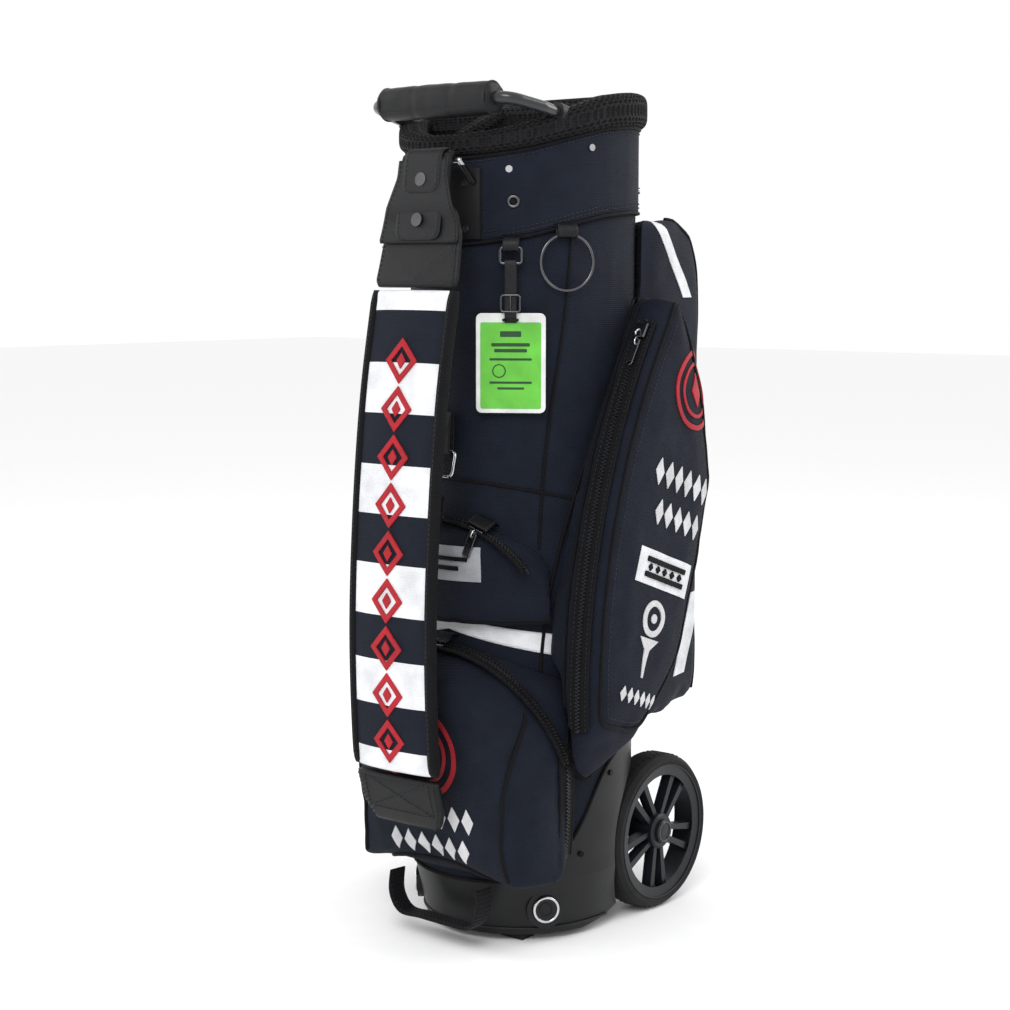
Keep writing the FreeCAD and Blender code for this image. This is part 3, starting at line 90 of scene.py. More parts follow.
def slant(line, y):
    return line[0] + (line[1] - line[0]) * eased(SLANT, (y - AXIS_Y) / TUBE_RY)


def boot_top(y):
    return BOOT_TOP[0] + (BOOT_TOP[1] - BOOT_TOP[0]) * eased(BOOT_CLIMB, (y - AXIS_Y) / TUBE_RY)


def on_oval(angle, z, out=0.0):
    """A point round the tube; the angle is in degrees from the front towards the right side."""
    turn = math.radians(angle)
    return Vector(((TUBE_RX + out) * math.sin(turn), AXIS_Y - (TUBE_RY + out) * math.cos(turn), z))


def middle(node):
    low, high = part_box(node)
    return (low + high) / 2


def pin_of(joint_name):
    """A joint's place and its unit axis."""
    joint = JOINTS[joint_name]
    return Vector(joint["pos_m"]), Vector(joint["axis"]).normalized()


def turns(count):
    """Angles of evenly spaced places round a circle."""
    return [2 * math.pi * k / count for k in range(count)]


# ---------------------------------------------------------------- materials

def add_node(tree, kind, **values):
    """A shader node whose named inputs or attributes are set."""
    made = tree.nodes.new(kind)
    for key, value in values.items():
        name = key.replace("_", " ").title() if key[0] != "_" else key[1:]
        if name in made.inputs:
            made.inputs[name].default_value = value
        else:
            setattr(made, name, value)
    return made


def surface(name, colour, rough, metallic=0.0, sheen=0.0, coat=0.0, specular=0.5, vary=0.17):
    """A material whose colour varies a little; returns it with its tree, its shader and its coordinates."""
    made = bpy.data.materials.new(name)
    made.use_nodes = True
    tree = made.node_tree
    shader = tree.nodes["Principled BSDF"]
    shader.inputs["Roughness"].default_value = rough
    shader.inputs["Metallic"].default_value = metallic
    shader.inputs["Sheen Weight"].default_value = sheen
    shader.inputs["Coat Weight"].default_value = coat
    shader.inputs["Coat Roughness"].default_value = 0.25
    shader.inputs["Specular IOR Level"].default_value = specular
    place = tree.nodes.new("ShaderNodeTexCoord").outputs["Object"]
    clouds = add_node(tree, "ShaderNodeTexNoise", scale=38.0, detail=5.0)
    tree.links.new(place, clouds.inputs["Vector"])
    ramp = tree.nodes.new("ShaderNodeValToRGB")
    ramp.color_ramp.elements[0].position = 0.3
    ramp.color_ramp.elements[1].position = 0.72
    ramp.color_ramp.elements[0].color = (*[c * (1 - vary) for c in colour], 1)
    ramp.color_ramp.elements[1].color = (*[min(1.0, c * (1 + vary)) for c in colour], 1)
    tree.links.new(clouds.outputs["Fac"], ramp.inputs["Fac"])
    tree.links.new(ramp.outputs["Color"], shader.inputs["Base Color"])
    return made, tree, shader, place, ramp


def bumps(tree, shader, heights, strength, distance):
    """Adds height sources up and turns them into a bump."""
    total = heights[0]
    for height in heights[1:]:
        both = add_node(tree, "ShaderNodeMath", _operation="ADD")
        tree.links.new(total, both.inputs[0])
        tree.links.new(height, both.inputs[1])
        total = both.outputs[0]
    bump = add_node(tree, "ShaderNodeBump", strength=strength, distance=distance)
    tree.links.new(total, bump.inputs["Height"])
    tree.links.new(bump.outputs["Normal"], shader.inputs["Normal"])
    return total


def darken(tree, shader, ramp, pattern, shade):
    """Multiplies the colour by a pattern, from the shade up to one."""
    fit = add_node(tree, "ShaderNodeMapRange")
    fit.inputs["To Min"].default_value = shade
    tree.links.new(pattern, fit.inputs["Value"])
    mixed = add_node(tree, "ShaderNodeMix", _data_type="RGBA", _blend_type="MULTIPLY")
    mixed.inputs[0].default_value = 1.0
    tree.links.new(ramp.outputs["Color"], mixed.inputs[6])
    tree.links.new(fit.outputs["Result"], mixed.inputs[7])
    tree.links.new(mixed.outputs[2], shader.inputs["Base Color"])


def wave(tree, place, scale, direction, distortion=0.0):
    made = add_node(tree, "ShaderNodeTexWave", scale=scale, distortion=distortion,
                    _wave_type="BANDS", _bands_direction=direction)
    tree.links.new(place, made.inputs["Vector"])
    return made.outputs["Fac"]


def woven(name, colour, pitch=1.1, depth=0.5, rough=0.7, sheen=0.02, specular=0.12):
    """Twill or webbing: two crossed sets of ribs, pitch in millimetres."""
    made, tree, shader, place, ramp = surface(name, colour, rough, sheen=sheen, specular=specular)
    scale = 314.0 / pitch
    ribs = wave(tree, place, scale, "DIAGONAL")
    cross = wave(tree, place, scale * 0.5, "Z")
    creases = add_node(tree, "ShaderNodeTexNoise", scale=14.0, detail=3.0)
    tree.links.new(place, creases.inputs["Vector"])
    height = bumps(tree, shader, [ribs, cross, creases.outputs["Fac"]], depth, 0.0006)
    darken(tree, shader, ramp, height, 0.7)
    return made


def spacer_mesh(name, colour):
    """Springy 3-D mesh with open oval cells, whose middles are painted dark as shade in the holes."""
    made, tree, shader, place, ramp = surface(name, colour, 0.75, sheen=0.02, specular=0.15)
    stretch = add_node(tree, "ShaderNodeMapping")
    stretch.inputs["Scale"].default_value = (1.0, 1.0, 1.5)
    tree.links.new(place, stretch.inputs["Vector"])
    cells = add_node(tree, "ShaderNodeTexVoronoi", scale=230.0, randomness=0.35)
    tree.links.new(stretch.outputs["Vector"], cells.inputs["Vector"])
    flip = add_node(tree, "ShaderNodeMapRange")
    flip.inputs["From Max"].default_value = 0.7
    tree.links.new(cells.outputs["Distance"], flip.inputs["Value"])
    bumps(tree, shader, [flip.outputs["Result"]], 0.9, 0.0012)
    # Painted shade: the colour drops to 15 % towards each cell's middle, for the shade inside the open holes.
    darken(tree, shader, ramp, flip.outputs["Result"], 0.15)
    return made


def leather(name, colour, rough=0.42):
    made, tree, shader, place, ramp = surface(name, colour, rough, coat=0.03, specular=0.22)
    grain = add_node(tree, "ShaderNodeTexVoronoi", scale=780.0, _feature="DISTANCE_TO_EDGE")
    folds = add_node(tree, "ShaderNodeTexNoise", scale=190.0, detail=4.0)
    for texture in (grain, folds):
        tree.links.new(place, texture.inputs["Vector"])
    limit = add_node(tree, "ShaderNodeMapRange")
    limit.inputs["From Max"].default_value = 0.12
    tree.links.new(grain.outputs["Distance"], limit.inputs["Value"])
    height = bumps(tree, shader, [limit.outputs["Result"], folds.outputs["Fac"]], 0.35, 0.0004)
    darken(tree, shader, ramp, height, 0.78)
    return made


def moulded(name, colour, rough, grain=420.0, depth=0.12, coat=0.0, metallic=0.0, specular=0.3):
    """Plastic, rubber or painted metal with a fine grain and uneven gloss."""
    made, tree, shader, place, _ = surface(name, colour, rough, metallic, 0.0, coat, specular)
    speckle = add_node(tree, "ShaderNodeTexNoise", scale=grain, detail=3.0)
    smears = add_node(tree, "ShaderNodeTexNoise", scale=22.0, detail=4.0)
    for texture in (speckle, smears):
        tree.links.new(place, texture.inputs["Vector"])
    bumps(tree, shader, [speckle.outputs["Fac"]], depth, 0.0004)
    gloss = add_node(tree, "ShaderNodeMapRange")
    gloss.inputs["To Min"].default_value = rough * 0.8
    gloss.inputs["To Max"].default_value = min(1.0, rough * 1.25)
    tree.links.new(smears.outputs["Fac"], gloss.inputs["Value"])
    tree.links.new(gloss.outputs["Result"], shader.inputs["Roughness"])
    return made


def thread(name, colour, direction="DIAGONAL"):
    """Satin-stitched embroidery: fine parallel threads."""
    made, tree, shader, place, ramp = surface(name, colour, 0.5, sheen=0.05, specular=0.2)
    height = bumps(tree, shader, [wave(tree, place, 330.0, direction, 1.5)], 0.6, 0.0006)
    darken(tree, shader, ramp, height, 0.72)
    return made


def chrome_over_dark(name, level):
    """Chrome above a level and dark below it; on the strap bar the dark lower half is painted shade."""
    made, tree, shader, place, ramp = surface(name, (0.5, 0.5, 0.52), 0.22, metallic=1.0)
    height = tree.nodes.new("ShaderNodeSeparateXYZ")
    tree.links.new(place, height.inputs["Vector"])
    upper = add_node(tree, "ShaderNodeMapRange")
    upper.inputs["From Min"].default_value = level - 0.0003
    upper.inputs["From Max"].default_value = level + 0.0003
    tree.links.new(height.outputs["Z"], upper.inputs["Value"])
    darken(tree, shader, ramp, upper.outputs["Result"], 0.03)
    return made


NAVY = (0.0062, 0.0088, 0.0165)
M = {
    "navy": woven("navy_twill", NAVY),
    "white": woven("white_twill", (0.66, 0.67, 0.69), depth=0.3),
    "black": woven("black_binding", (0.0035, 0.0035, 0.0045), pitch=1.6),
    "web": woven("black_webbing", (0.006, 0.006, 0.0075), pitch=2.4, depth=0.8),
    "lining": woven("lining_cloth", (0.008, 0.008, 0.01), pitch=1.5),
    "mesh": spacer_mesh("spacer_mesh", (0.010, 0.010, 0.0115)),
    "leather": leather("black_leather", (0.0042, 0.0045, 0.0055)),
    "boot": moulded("boot_plastic", (0.0042, 0.0045, 0.0055), 0.45),
    "rim": moulded("rim_plastic", (0.008, 0.009, 0.012), 0.4),
    "hidden": moulded("black_plastic", (0.006, 0.006, 0.007), 0.45),
    "rubber": moulded("tyre_rubber", (0.013, 0.013, 0.014), 0.8, grain=300.0, depth=0.3, specular=0.25),
    "tube": moulded("gloss_tube", (0.014, 0.015, 0.018), 0.2, coat=0.4, depth=0.03),
    "chrome": moulded("chrome", (0.6, 0.6, 0.62), 0.16, metallic=1.0, depth=0.02),
    "gunmetal": moulded("gunmetal", (0.10, 0.10, 0.107), 0.26, metallic=1.0, depth=0.03),
    "teeth": moulded("zip_teeth", (0.013, 0.013, 0.015), 0.3, depth=0.02),
    "red": thread("red_embroidery", (0.42, 0.006, 0.016)),
    "embroidery": thread("white_embroidery", (0.66, 0.66, 0.68)),
    "stitch": thread("black_stitching", (0.022, 0.023, 0.027)),
    "card": moulded("card_white", (0.62, 0.64, 0.62), 0.3, coat=0.3, depth=0.02),
    "green": moulded("card_green", (0.10, 0.42, 0.035), 0.3, coat=0.3, depth=0.02),
    "ink": moulded("card_ink", (0.015, 0.05, 0.02), 0.4, depth=0.02),
    "silver": woven("silver_label", (0.30, 0.31, 0.33), depth=0.2),
    # Painted shade: the strap bar is dark instead of chrome below 0.8265 m, on its shaded underside.
    "bar": chrome_over_dark("strap_bar_metal", 0.8265),
    # The fixings are chrome above 0.5 m and dark below it.
    "studs": chrome_over_dark("fixing_metal", 0.5),
}


# ---------------------------------------------------------------- mesh helpers

def placed(name, data):
    """A new object in the scene."""
    made = bpy.data.objects.new(name, data)
    bpy.context.scene.collection.objects.link(made)
    return made


def piece(name, verts, faces, material, body="bag", smooth=True):
    """A mesh object that rides on a CAD body."""
    mesh = bpy.data.meshes.new(name)
    mesh.from_pydata([tuple(v) for v in verts], [], faces)
    mesh.materials.append(M[material])
    mesh.polygons.foreach_set("use_smooth", [smooth] * len(mesh.polygons))
    mesh.update()
    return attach(placed(name, mesh), body)


def grid_faces(rows, columns, wrap_columns=False, wrap_rows=False):
    """Four-sided faces between the points of a grid, row by row."""
    faces = []
    for i in range(rows if wrap_rows else rows - 1):
        for j in range(columns if wrap_columns else columns - 1):
            a, b = i * columns, ((i + 1) % rows) * columns
            k = (j + 1) % columns
            faces.append((a + j, a + k, b + k, b + j))
    return faces


def smooth_path(points, spacing, closed=False):
    """A Catmull-Rom curve through the points, sampled about every spacing."""
    points = [Vector(p) for p in points]
    count = len(points)
    out = []
    for i in range(count if closed else count - 1):
        if closed:
            p0, p1, p2, p3 = (points[(i + k) % count] for k in (-1, 0, 1, 2))
        else:
            p0, p1 = points[max(i - 1, 0)], points[i]
            p2, p3 = points[i + 1], points[min(i + 2, count - 1)]
        steps = max(1, round((p2 - p1).length / spacing))
        for k in range(steps):
            t = k / steps
            out.append(0.5 * (2 * p1 + (p2 - p0) * t + (2 * p0 - 5 * p1 + 4 * p2 - p3) * t * t
                              + (3 * p1 - p0 - 3 * p2 + p3) * t ** 3))
    if not closed:
        out.append(points[-1])
    return out


def as_function(value):
    """The value itself when it can be called, or else a function that always gives it."""
    return value if callable(value) else (lambda share: value)


def rounded_power(value, power):
    """A signed power, which squares off the sine and cosine of a round section."""
    return math.copysign(abs(value) ** power, value)


def ribbon(name, path, across, half_width, half_thick, material, body="bag", spacing=0.006,
           power=(0.35, 0.7),
           crown=0.0, around=28, end_round=0.5):
    """A strip or padded roll along a path, with a rounded section and closed ends.

    Returns the object and a list of (middle, outward, across, half width) along it.
    """
    line = smooth_path(path, spacing)
    across, width, thick = as_function(across), as_function(half_width), as_function(half_thick)
    verts, rows = [], []
    last = len(line) - 1
    for i, point in enumerate(line):
        share = i / last
        along = (line[min(i + 1, last)] - line[max(i - 1, 0)]).normalized()
        side = across(share)
        side = (side - along * side.dot(along)).normalized()
        out = along.cross(side).normalized()
        end = 1.0 - end_round * max(0.0, 1.0 - min(i, last - i) / 1.5)
        w, h = width(share), thick(share) * end
        for k in range(around):
            turn = 2 * math.pi * k / around
            x = rounded_power(math.cos(turn), power[0])
            y = rounded_power(math.sin(turn), power[1])
            swell = crown * end * (1 - x * x) if y > 0 else 0.0
            verts.append(point + side * (w * x) + out * (h * y + swell))
        rows.append((point, out, side, w))
    faces = grid_faces(len(line), around, wrap_columns=True)
    faces.append(tuple(range(around))[::-1])
    faces.append(tuple(range(last * around, (last + 1) * around)))
    return piece(name, verts, faces, material, body), rows


def cord_line(name, points, radius, material, body="bag", closed=False):
    """A thin round cord, for piping and wire."""
    curve = bpy.data.curves.new(name, "CURVE")
    curve.dimensions = "3D"
    curve.bevel_depth = radius
    curve.bevel_resolution = 3
    curve.use_fill_caps = True
    spline = curve.splines.new("POLY")
    spline.points.add(len(points) - 1)
    for slot, point in zip(spline.points, points):
        slot.co = (*point, 1)
    spline.use_cyclic_u = closed
    curve.materials.append(M[material])
    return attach(placed(name, curve), body)


def stitches(name, points, outward, material="stitch", body="bag", length=0.0034, gap=0.0016, radius=0.0004):
    """A row of raised stitches along a line; outward is the side that they stand on, or the skin they follow."""
    if isinstance(outward, Skin):
        skin = outward
        points = [skin.near(p, 0.0001) for p in smooth_path(points, 0.002)]
        facing = skin.normal
    else:
        facing = None
        outward = as_function(outward)
    verts, faces = [], []
    travelled, start = 0.0, 0.0
    places = [(0.0, points[0])]
    for a, b in zip(points, points[1:]):
        travelled += (b - a).length
        places.append((travelled, b))

    def at(distance):
        for (d0, a), (d1, b) in zip(places, places[1:]):
            if distance <= d1:
                return a.lerp(b, (distance - d0) / max(d1 - d0, 1e-9))
        return places[-1][1]

    while start + length < travelled:
        a, b = at(start), at(start + length)
        along = (b - a).normalized()
        out = facing(a) if facing else outward(start / travelled)
        side = along.cross(out).normalized()
        base = len(verts)
        for end, lift in ((a, 0.2), (a.lerp(b, 0.25), 1.0), (a.lerp(b, 0.75), 1.0), (b, 0.2)):
            for sx, sz in ((-1, -1), (1, -1), (0.7, 1), (-0.7, 1)):
                verts.append(end + side * (sx * radius * (0.5 + 0.5 * lift)) + out * (sz * radius * lift))
        for i in range(3):
            for k in range(4):
                faces.append((base + i * 4 + k, base + i * 4 + (k + 1) % 4,
                              base + i * 4 + 4 + (k + 1) % 4, base + i * 4 + 4 + k))
        faces.append((base + 3, base + 2, base + 1, base))
        faces.append((base + 12, base + 13, base + 14, base + 15))
        start += length + gap
    return piece(name, verts, faces, material, body)


def ring_points(centre, normal, radius, count=48, start=0.0, sweep=360.0):
    """Points of an arc about a centre."""
    turn = normal.normalized().to_track_quat("Z", "Y")
    angles = [math.radians(start + sweep * k / count) for k in range(count + (0 if sweep == 360.0 else 1))]
    return [centre + turn @ Vector((radius * math.cos(a), radius * math.sin(a), 0)) for a in angles]


class Skin:
    """The finished surface of a piece, for laying seams and patches on it."""

    def __init__(self, thing):
        self.tree = BVHTree.FromObject(thing, bpy.context.evaluated_depsgraph_get())

    def near(self, point, lift=0.0):
        spot, normal, _, _ = self.tree.find_nearest(point)
        return spot + normal * lift

    def normal(self, point):
        return self.tree.find_nearest(point)[1]

    def seen(self, start, direction, lift=0.0):
        spot, normal, _, _ = self.tree.ray_cast(start, direction)
        if spot is None:
            return self.near(start, lift)
        return spot + normal * lift


def patch(name, shapes, skin, place, direction, material, thick=0.0012, body="bag", cell=0.005):
    """Flat shapes, each a list of (u, v) corners, laid on a surface; place turns (u, v) into a start point."""
    made = bmesh.new()
    for shape in shapes:
        made.faces.new([made.verts.new((u, v, 0)) for u, v in shape])
    bmesh.ops.remove_doubles(made, verts=made.verts, dist=1e-6)
    bmesh.ops.triangulate(made, faces=made.faces)
    for _ in range(6):
        long_edges = [e for e in made.edges if e.calc_length() > cell]
        if not long_edges:
            break
        bmesh.ops.subdivide_edges(made, edges=long_edges, cuts=1)
        bmesh.ops.triangulate(made, faces=made.faces)
    for vert in made.verts:
        vert.co = skin.seen(place(vert.co.x, vert.co.y), direction, thick * 0.5)
    bmesh.ops.recalc_face_normals(made, faces=made.faces)
    mesh = bpy.data.meshes.new(name)
    made.to_mesh(mesh)
    made.free()
    mesh.materials.append(M[material])
    thing = placed(name, mesh)
    shell = thing.modifiers.new("thickness", "SOLIDIFY")
    shell.thickness = thick
    shell.offset = 0.0
    edge = thing.modifiers.new("edge", "BEVEL")
    edge.width = thick * 0.3
    edge.limit_method = "ANGLE"
    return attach(thing, body)


def ring_shape(u, v, radius, border, count=56):
    """A flat ring, as quads."""
    quads = []
    for k in range(count):
        a, b = 2 * math.pi * k / count, 2 * math.pi * (k + 1) / count
        quads.append([(u + r * math.cos(t), v + r * math.sin(t))
                      for r, t in ((radius, a), (radius, b), (radius - border, b), (radius - border, a))])
    return quads


def disc_shape(u, v, radius, count=20):
    return [[(u + radius * math.cos(a), v + radius * math.sin(a)) for a in turns(count)]]


def rhombus_shape(u, v, half_u, half_v):
    return [[(u - half_u, v), (u, v - half_v), (u + half_u, v), (u, v + half_v)]]


def rhombus_row(count, first, step, v, half_u, half_v):
    """Diamonds side by side."""
    return [shape for k in range(count) for shape in rhombus_shape(first + step * k, v, half_u, half_v)]


def rhombus_ring(u, v, half_u, half_v, share):
    outer = rhombus_shape(u, v, half_u, half_v)[0]
    inner = rhombus_shape(u, v, half_u * share, half_v * share)[0]
    return [[outer[k], outer[(k + 1) % 4], inner[(k + 1) % 4], inner[k]] for k in range(4)]


def box_shape(u, v, half_u, half_v):
    return [[(u - half_u, v - half_v), (u + half_u, v - half_v), (u + half_u, v + half_v),
             (u - half_u, v + half_v)]]


def turned_shapes(shapes, u, v, degrees):
    """Shapes turned about the origin and moved to (u, v)."""
    c, s = math.cos(math.radians(degrees)), math.sin(math.radians(degrees))
    return [[(u + a * c - b * s, v + a * s + b * c) for a, b in shape] for shape in shapes]


# ---------------------------------------------------------------- soft shells of the tube

def sleeve(name, low, high, out, material, node, rows=60, columns=160, ripple=0.0012, thick=0.003):
    """The tube's padded cloth between two lines, with soft upright creases, as a wall of real thickness."""
    verts = []
    for i in range(rows):
        share = i / (rows - 1)
        for j in range(columns):
            angle = 360 * j / columns
            flat = on_oval(angle, 0.0)
            z0, z1 = low(flat.y), high(flat.y)
            z = z0 + (z1 - z0) * share
            turn = math.radians(angle)
            crease = noise.noise(Vector((math.sin(turn) * 5, math.cos(turn) * 5, z * 7)))
            fine = noise.noise(Vector((angle * 0.35, z * 16, 3.0)))
            edge = min(1.0, min(share, 1 - share) * 9)
            verts.append(on_oval(angle, z, out + (ripple * crease + ripple * 0.35 * fine) * edge))
    made = piece(name, verts, grid_faces(rows, columns, wrap_columns=True), material)
    wall = made.modifiers.new("wall", "SOLIDIFY")
    wall.thickness = thick
    wall.offset = -1.0
    if made.data.polygons[0].normal.dot(made.data.polygons[0].center - Vector((0, AXIS_Y, 0))) < 0:
        made.data.flip_normals()
    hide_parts(node)
    return made


def oval_line(height, out, count=180):
    """A closed line round the tube, from the front; its height is a function of y."""
    points = []
    for k in range(count):
        flat = on_oval(360.0 * k / count, 0.0, out)
        points.append(Vector((flat.x, flat.y, height(flat.y))))
    return points


def away(share):
    """The outward direction at a share of an oval line."""
    return Vector((math.sin(share * 2 * math.pi), -math.cos(share * 2 * math.pi), 0.0))


def tube_and_collar():
    sleeve("tube_cloth", lambda y: boot_top(y) + 0.0006, lambda y: slant(COLLAR_LOW, y) - 0.0006, 0.0004,
           "navy",
           "body_shell", rows=90)
    sleeve("collar_cloth", lambda y: slant(COLLAR_LOW, y), lambda y: slant(COLLAR_TOP, y), 0.0035, "navy",
           "collar",
           rows=24, ripple=0.0009, thick=0.006)
    seam = oval_line(lambda y: slant(COLLAR_LOW, y) - 0.0008, 0.0036)
    cord_line("collar_seam_piping", seam, 0.0018, "black", closed=True)
    for k, lift in enumerate((0.0052, 0.0095)):
        stitches(f"collar_stitches_{k}", oval_line(lambda y: slant(COLLAR_LOW, y) + lift, 0.0042), away)
    stitches("collar_stitches_top", oval_line(lambda y: slant(COLLAR_TOP, y) - 0.004, 0.0042), away)
    cord_line("rim_piping", oval_line(lambda y: slant(COLLAR_TOP, y) + 0.0006, 0.0042), 0.0019, "black",
              closed=True)
    cord_line("boot_seam_binding", oval_line(lambda y: boot_top(y) + 0.002, 0.0012), 0.0021, "black",
              closed=True)
    for side, sign in SIDES.items():
        upright = [on_oval(sign * a, z, 0.0012) for a, z in ((64.1, 0.767), (60.1, 0.669), (52.5, 0.565),
                                                            (49.1, 0.493), (47.5, 0.43))]
        cord_line(f"tube_piping_{side}", smooth_path(upright, 0.01), 0.0017, "black")
    cross = [on_oval(a, 0.502 - 0.020 * (abs(a) / 64) ** 1.6, 0.0012) for a in range(-64, 65, 4)]
    cord_line("tube_cross_piping", cross, 0.0017, "black")
    wedge_verts, rows, columns, reach = [], 7, 61, 56
    for i in range(rows):
        for j in range(columns):
            angle = -reach + 2 * reach * j / (columns - 1)
            spread = abs(angle) / 52
            low, high = 0.341 - 0.0236 * spread, 0.355 - 0.0154 * spread
            wedge_verts.append(on_oval(angle, low + (high - low) * i / (rows - 1), 0.0016))
    wedge = piece("white_wedge", wedge_verts, grid_faces(rows, columns), "white")
    wedge.modifiers.new("thickness", "SOLIDIFY").thickness = 0.001
    eyelet_out = on_oval(35, 0.0, 0.0) - Vector((0, AXIS_Y, 0))
    eyelet = on_oval(35, 0.790, 0.0045)
    cord_line("collar_eyelet", ring_points(eyelet, eyelet_out, 0.0052, 36), 0.0017, "gunmetal", closed=True)
    dome("collar_eyelet_hole", eyelet - eyelet_out.normalized() * 0.0004, eyelet_out, 0.0046, 0.0006,
         "black")


def pits(u, v, depth=0.002):
    """Depth of a staggered pattern of oval holes; u and v count cells."""
    row = round(v)
    du = (u + 0.5 * (row % 2)) - round(u + 0.5 * (row % 2))
    dv = v - row
    return -depth * min(1.0, 2.4 * max(0.0, 1.0 - du * du * 7.5 - dv * dv * 7.0))


def mouth_padding():
    """The padded mesh roll on the rim and the padded bars across the mouth."""
    low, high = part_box("mouth_pad")
    out_x, out_y = high.x, (high.y - low.y) / 2
    columns, rows = 936, 90
    cells_round, cells_across = 104, 20
    verts = []
    half = 0.0155
    for i in range(columns):
        angle = 2 * math.pi * i / columns
        flare = 0.0035 + 0.0015 * math.sin(angle) ** 2
        middle_x, middle_y = (out_x + flare - half) * math.sin(angle), -(out_y + flare - half) * math.cos(angle)
        out = Vector((math.sin(angle) / out_x, -math.cos(angle) / out_y, 0)).normalized()
        y = AXIS_Y + middle_y
        z0, z1 = slant(COLLAR_TOP, y) + 0.0004, slant(RIM_TOP, y) + 0.001
        swell = 1 + 0.03 * noise.noise(out * 5)
        for k in range(rows):
            turn = 2 * math.pi * k / rows
            x = rounded_power(math.cos(turn), 0.5) * half * swell
            z = rounded_power(math.sin(turn), 0.5) * (z1 - z0) / 2
            shrink = 1 + pits(i / columns * cells_round, k / rows * cells_across) / half
            tuck = 0.0028 * max(0.0, -math.sin(turn)) ** 2
            verts.append(Vector((middle_x, y, (z0 + z1) / 2 + z * shrink)) + out * (x * shrink - tuck))
    roll = piece("mouth_roll", verts, grid_faces(columns, rows, wrap_columns=True, wrap_rows=True), "mesh")
    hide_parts("mouth_pad")
    pads_low, pads_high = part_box("divider_pads")
    reach_y = (pads_high.y - pads_low.y) / 2
    lines = {"long": ([Vector((0, AXIS_Y + reach_y * t, 0)) for t in [k / 12 - 1 for k in range(25)]],
                      RIGHT)}
    for name, y in (("front", -0.036), ("back", 0.038)):
        reach = pads_high.x * math.sqrt(1 - (y / reach_y) ** 2)
        lines[name] = ([Vector((reach * t, AXIS_Y + y, 0)) for t in [k / 8 - 1 for k in range(17)]], BACK)
    spacing, around, cell, cells = 0.0012, 56, 0.0072, 12
    for name, (line, side) in lines.items():
        path = [Vector((p.x, p.y, slant(RIM_TOP, p.y) - 0.0155)) for p in line]
        bar, _ = ribbon(f"divider_bar_{name}", path, side, 0.0102, 0.0146, "mesh", spacing=spacing,
                        power=(0.6, 0.6), around=around)
        normals = [v.normal.copy() for v in bar.data.vertices]
        for index, vert in enumerate(bar.data.vertices):
            row, spot = divmod(index, around)
            vert.co += normals[index] * pits(row * spacing / cell, spot / around * cells, 0.0016)
        if name == "long":
            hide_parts("divider_pads")


# ---------------------------------------------------------------- padded pockets

def applied(thing):
    """The object's mesh with its modifiers applied."""
    mesh = bpy.data.meshes.new_from_object(thing.evaluated_get(bpy.context.evaluated_depsgraph_get()))
    thing.modifiers.clear()
    thing.data = mesh
    return thing


def ball_zip_place(point):
    """Where a point is in the ball zip's frame: its reach from the zip's middle, and its place along the axis."""
    centre, axis = pin_of("ball_zip_travel")
    away_from = point - centre
    rise = away_from.dot(axis.cross(RIGHT) * -1)
    return Vector((point.x, max(0.0, rise))), away_from.dot(axis)


BALL_ZIP_ROOM = 0.1368  # how far the ball slider reaches from the middle of its arc


def clear_of_ball_zip(point):
    """The point, moved sideways out of the room that the ball pocket's slider needs."""
    reach, along = ball_zip_place(point)
    if reach.length >= BALL_ZIP_ROOM or along > 0.014 or abs(point.x) < 0.05:
        return point
    axis = pin_of("ball_zip_travel")[1]
    missing = BALL_ZIP_ROOM / reach.length - 1
    return point + RIGHT * (reach.x * missing) + axis.cross(RIGHT) * (-reach.y * missing)


def puffed(name, node, voxel, cap, seams):
    """A padded cover grown from a CAD solid by pressure, and held back along its seams.

    Pressure swells the remeshed solid like stuffing. No point moves further than cap, and points near a
    seam hardly move.
    """
    mesh = frame["nodes"][node].data.copy()
    thing = placed(name, mesh)
    mesh.materials.clear()
    remesh = thing.modifiers.new("remesh", "REMESH")
    remesh.mode = "VOXEL"
    remesh.voxel_size = voxel
    soften = thing.modifiers.new("soften", "SMOOTH")
    soften.iterations = 10
    soften.factor = 0.5
    applied(thing)
    rest = [v.co.copy() for v in thing.data.vertices]
    normals = [v.normal.copy() for v in thing.data.vertices]
    swollen = under_pressure(thing)
    held = [point for line in seams for point in line]
    near = KDTree(len(held))
    for index, point in enumerate(held):
        near.insert(point, index)
    near.balance()
    for vert, start, end, normal in zip(thing.data.vertices, rest, swollen, normals):
        move = end - start
        distance = near.find(start)[2]
        off_tube = (math.hypot(start.x / TUBE_RX, (start.y - AXIS_Y) / TUBE_RY) - 1) * TUBE_RX
        free = min(1.0, distance / 0.03) ** 0.7 * min(1.0, max(0.0, (off_tube - 0.001) / 0.014))
        limit = cap * free
        if move.length > limit:
            move = move * (limit / max(move.length, 1e-9))
        wrinkle = noise.noise(start * 24) * 0.0016 + noise.noise(start * 60) * 0.0006
        pinch = -0.0012 * math.exp(-((distance / 0.004) ** 2))
        vert.co = start + move + normal * (wrinkle * free + pinch)
        if node.startswith("side"):
            vert.co = clear_of_ball_zip(vert.co)
    thing.data.materials.append(M["navy"])
    thing.data.polygons.foreach_set("use_smooth", [True] * len(thing.data.polygons))
    detail = thing.modifiers.new("detail", "SUBSURF")
    detail.levels = detail.render_levels = 1
    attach(thing, "bag")
    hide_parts(node)
    return thing


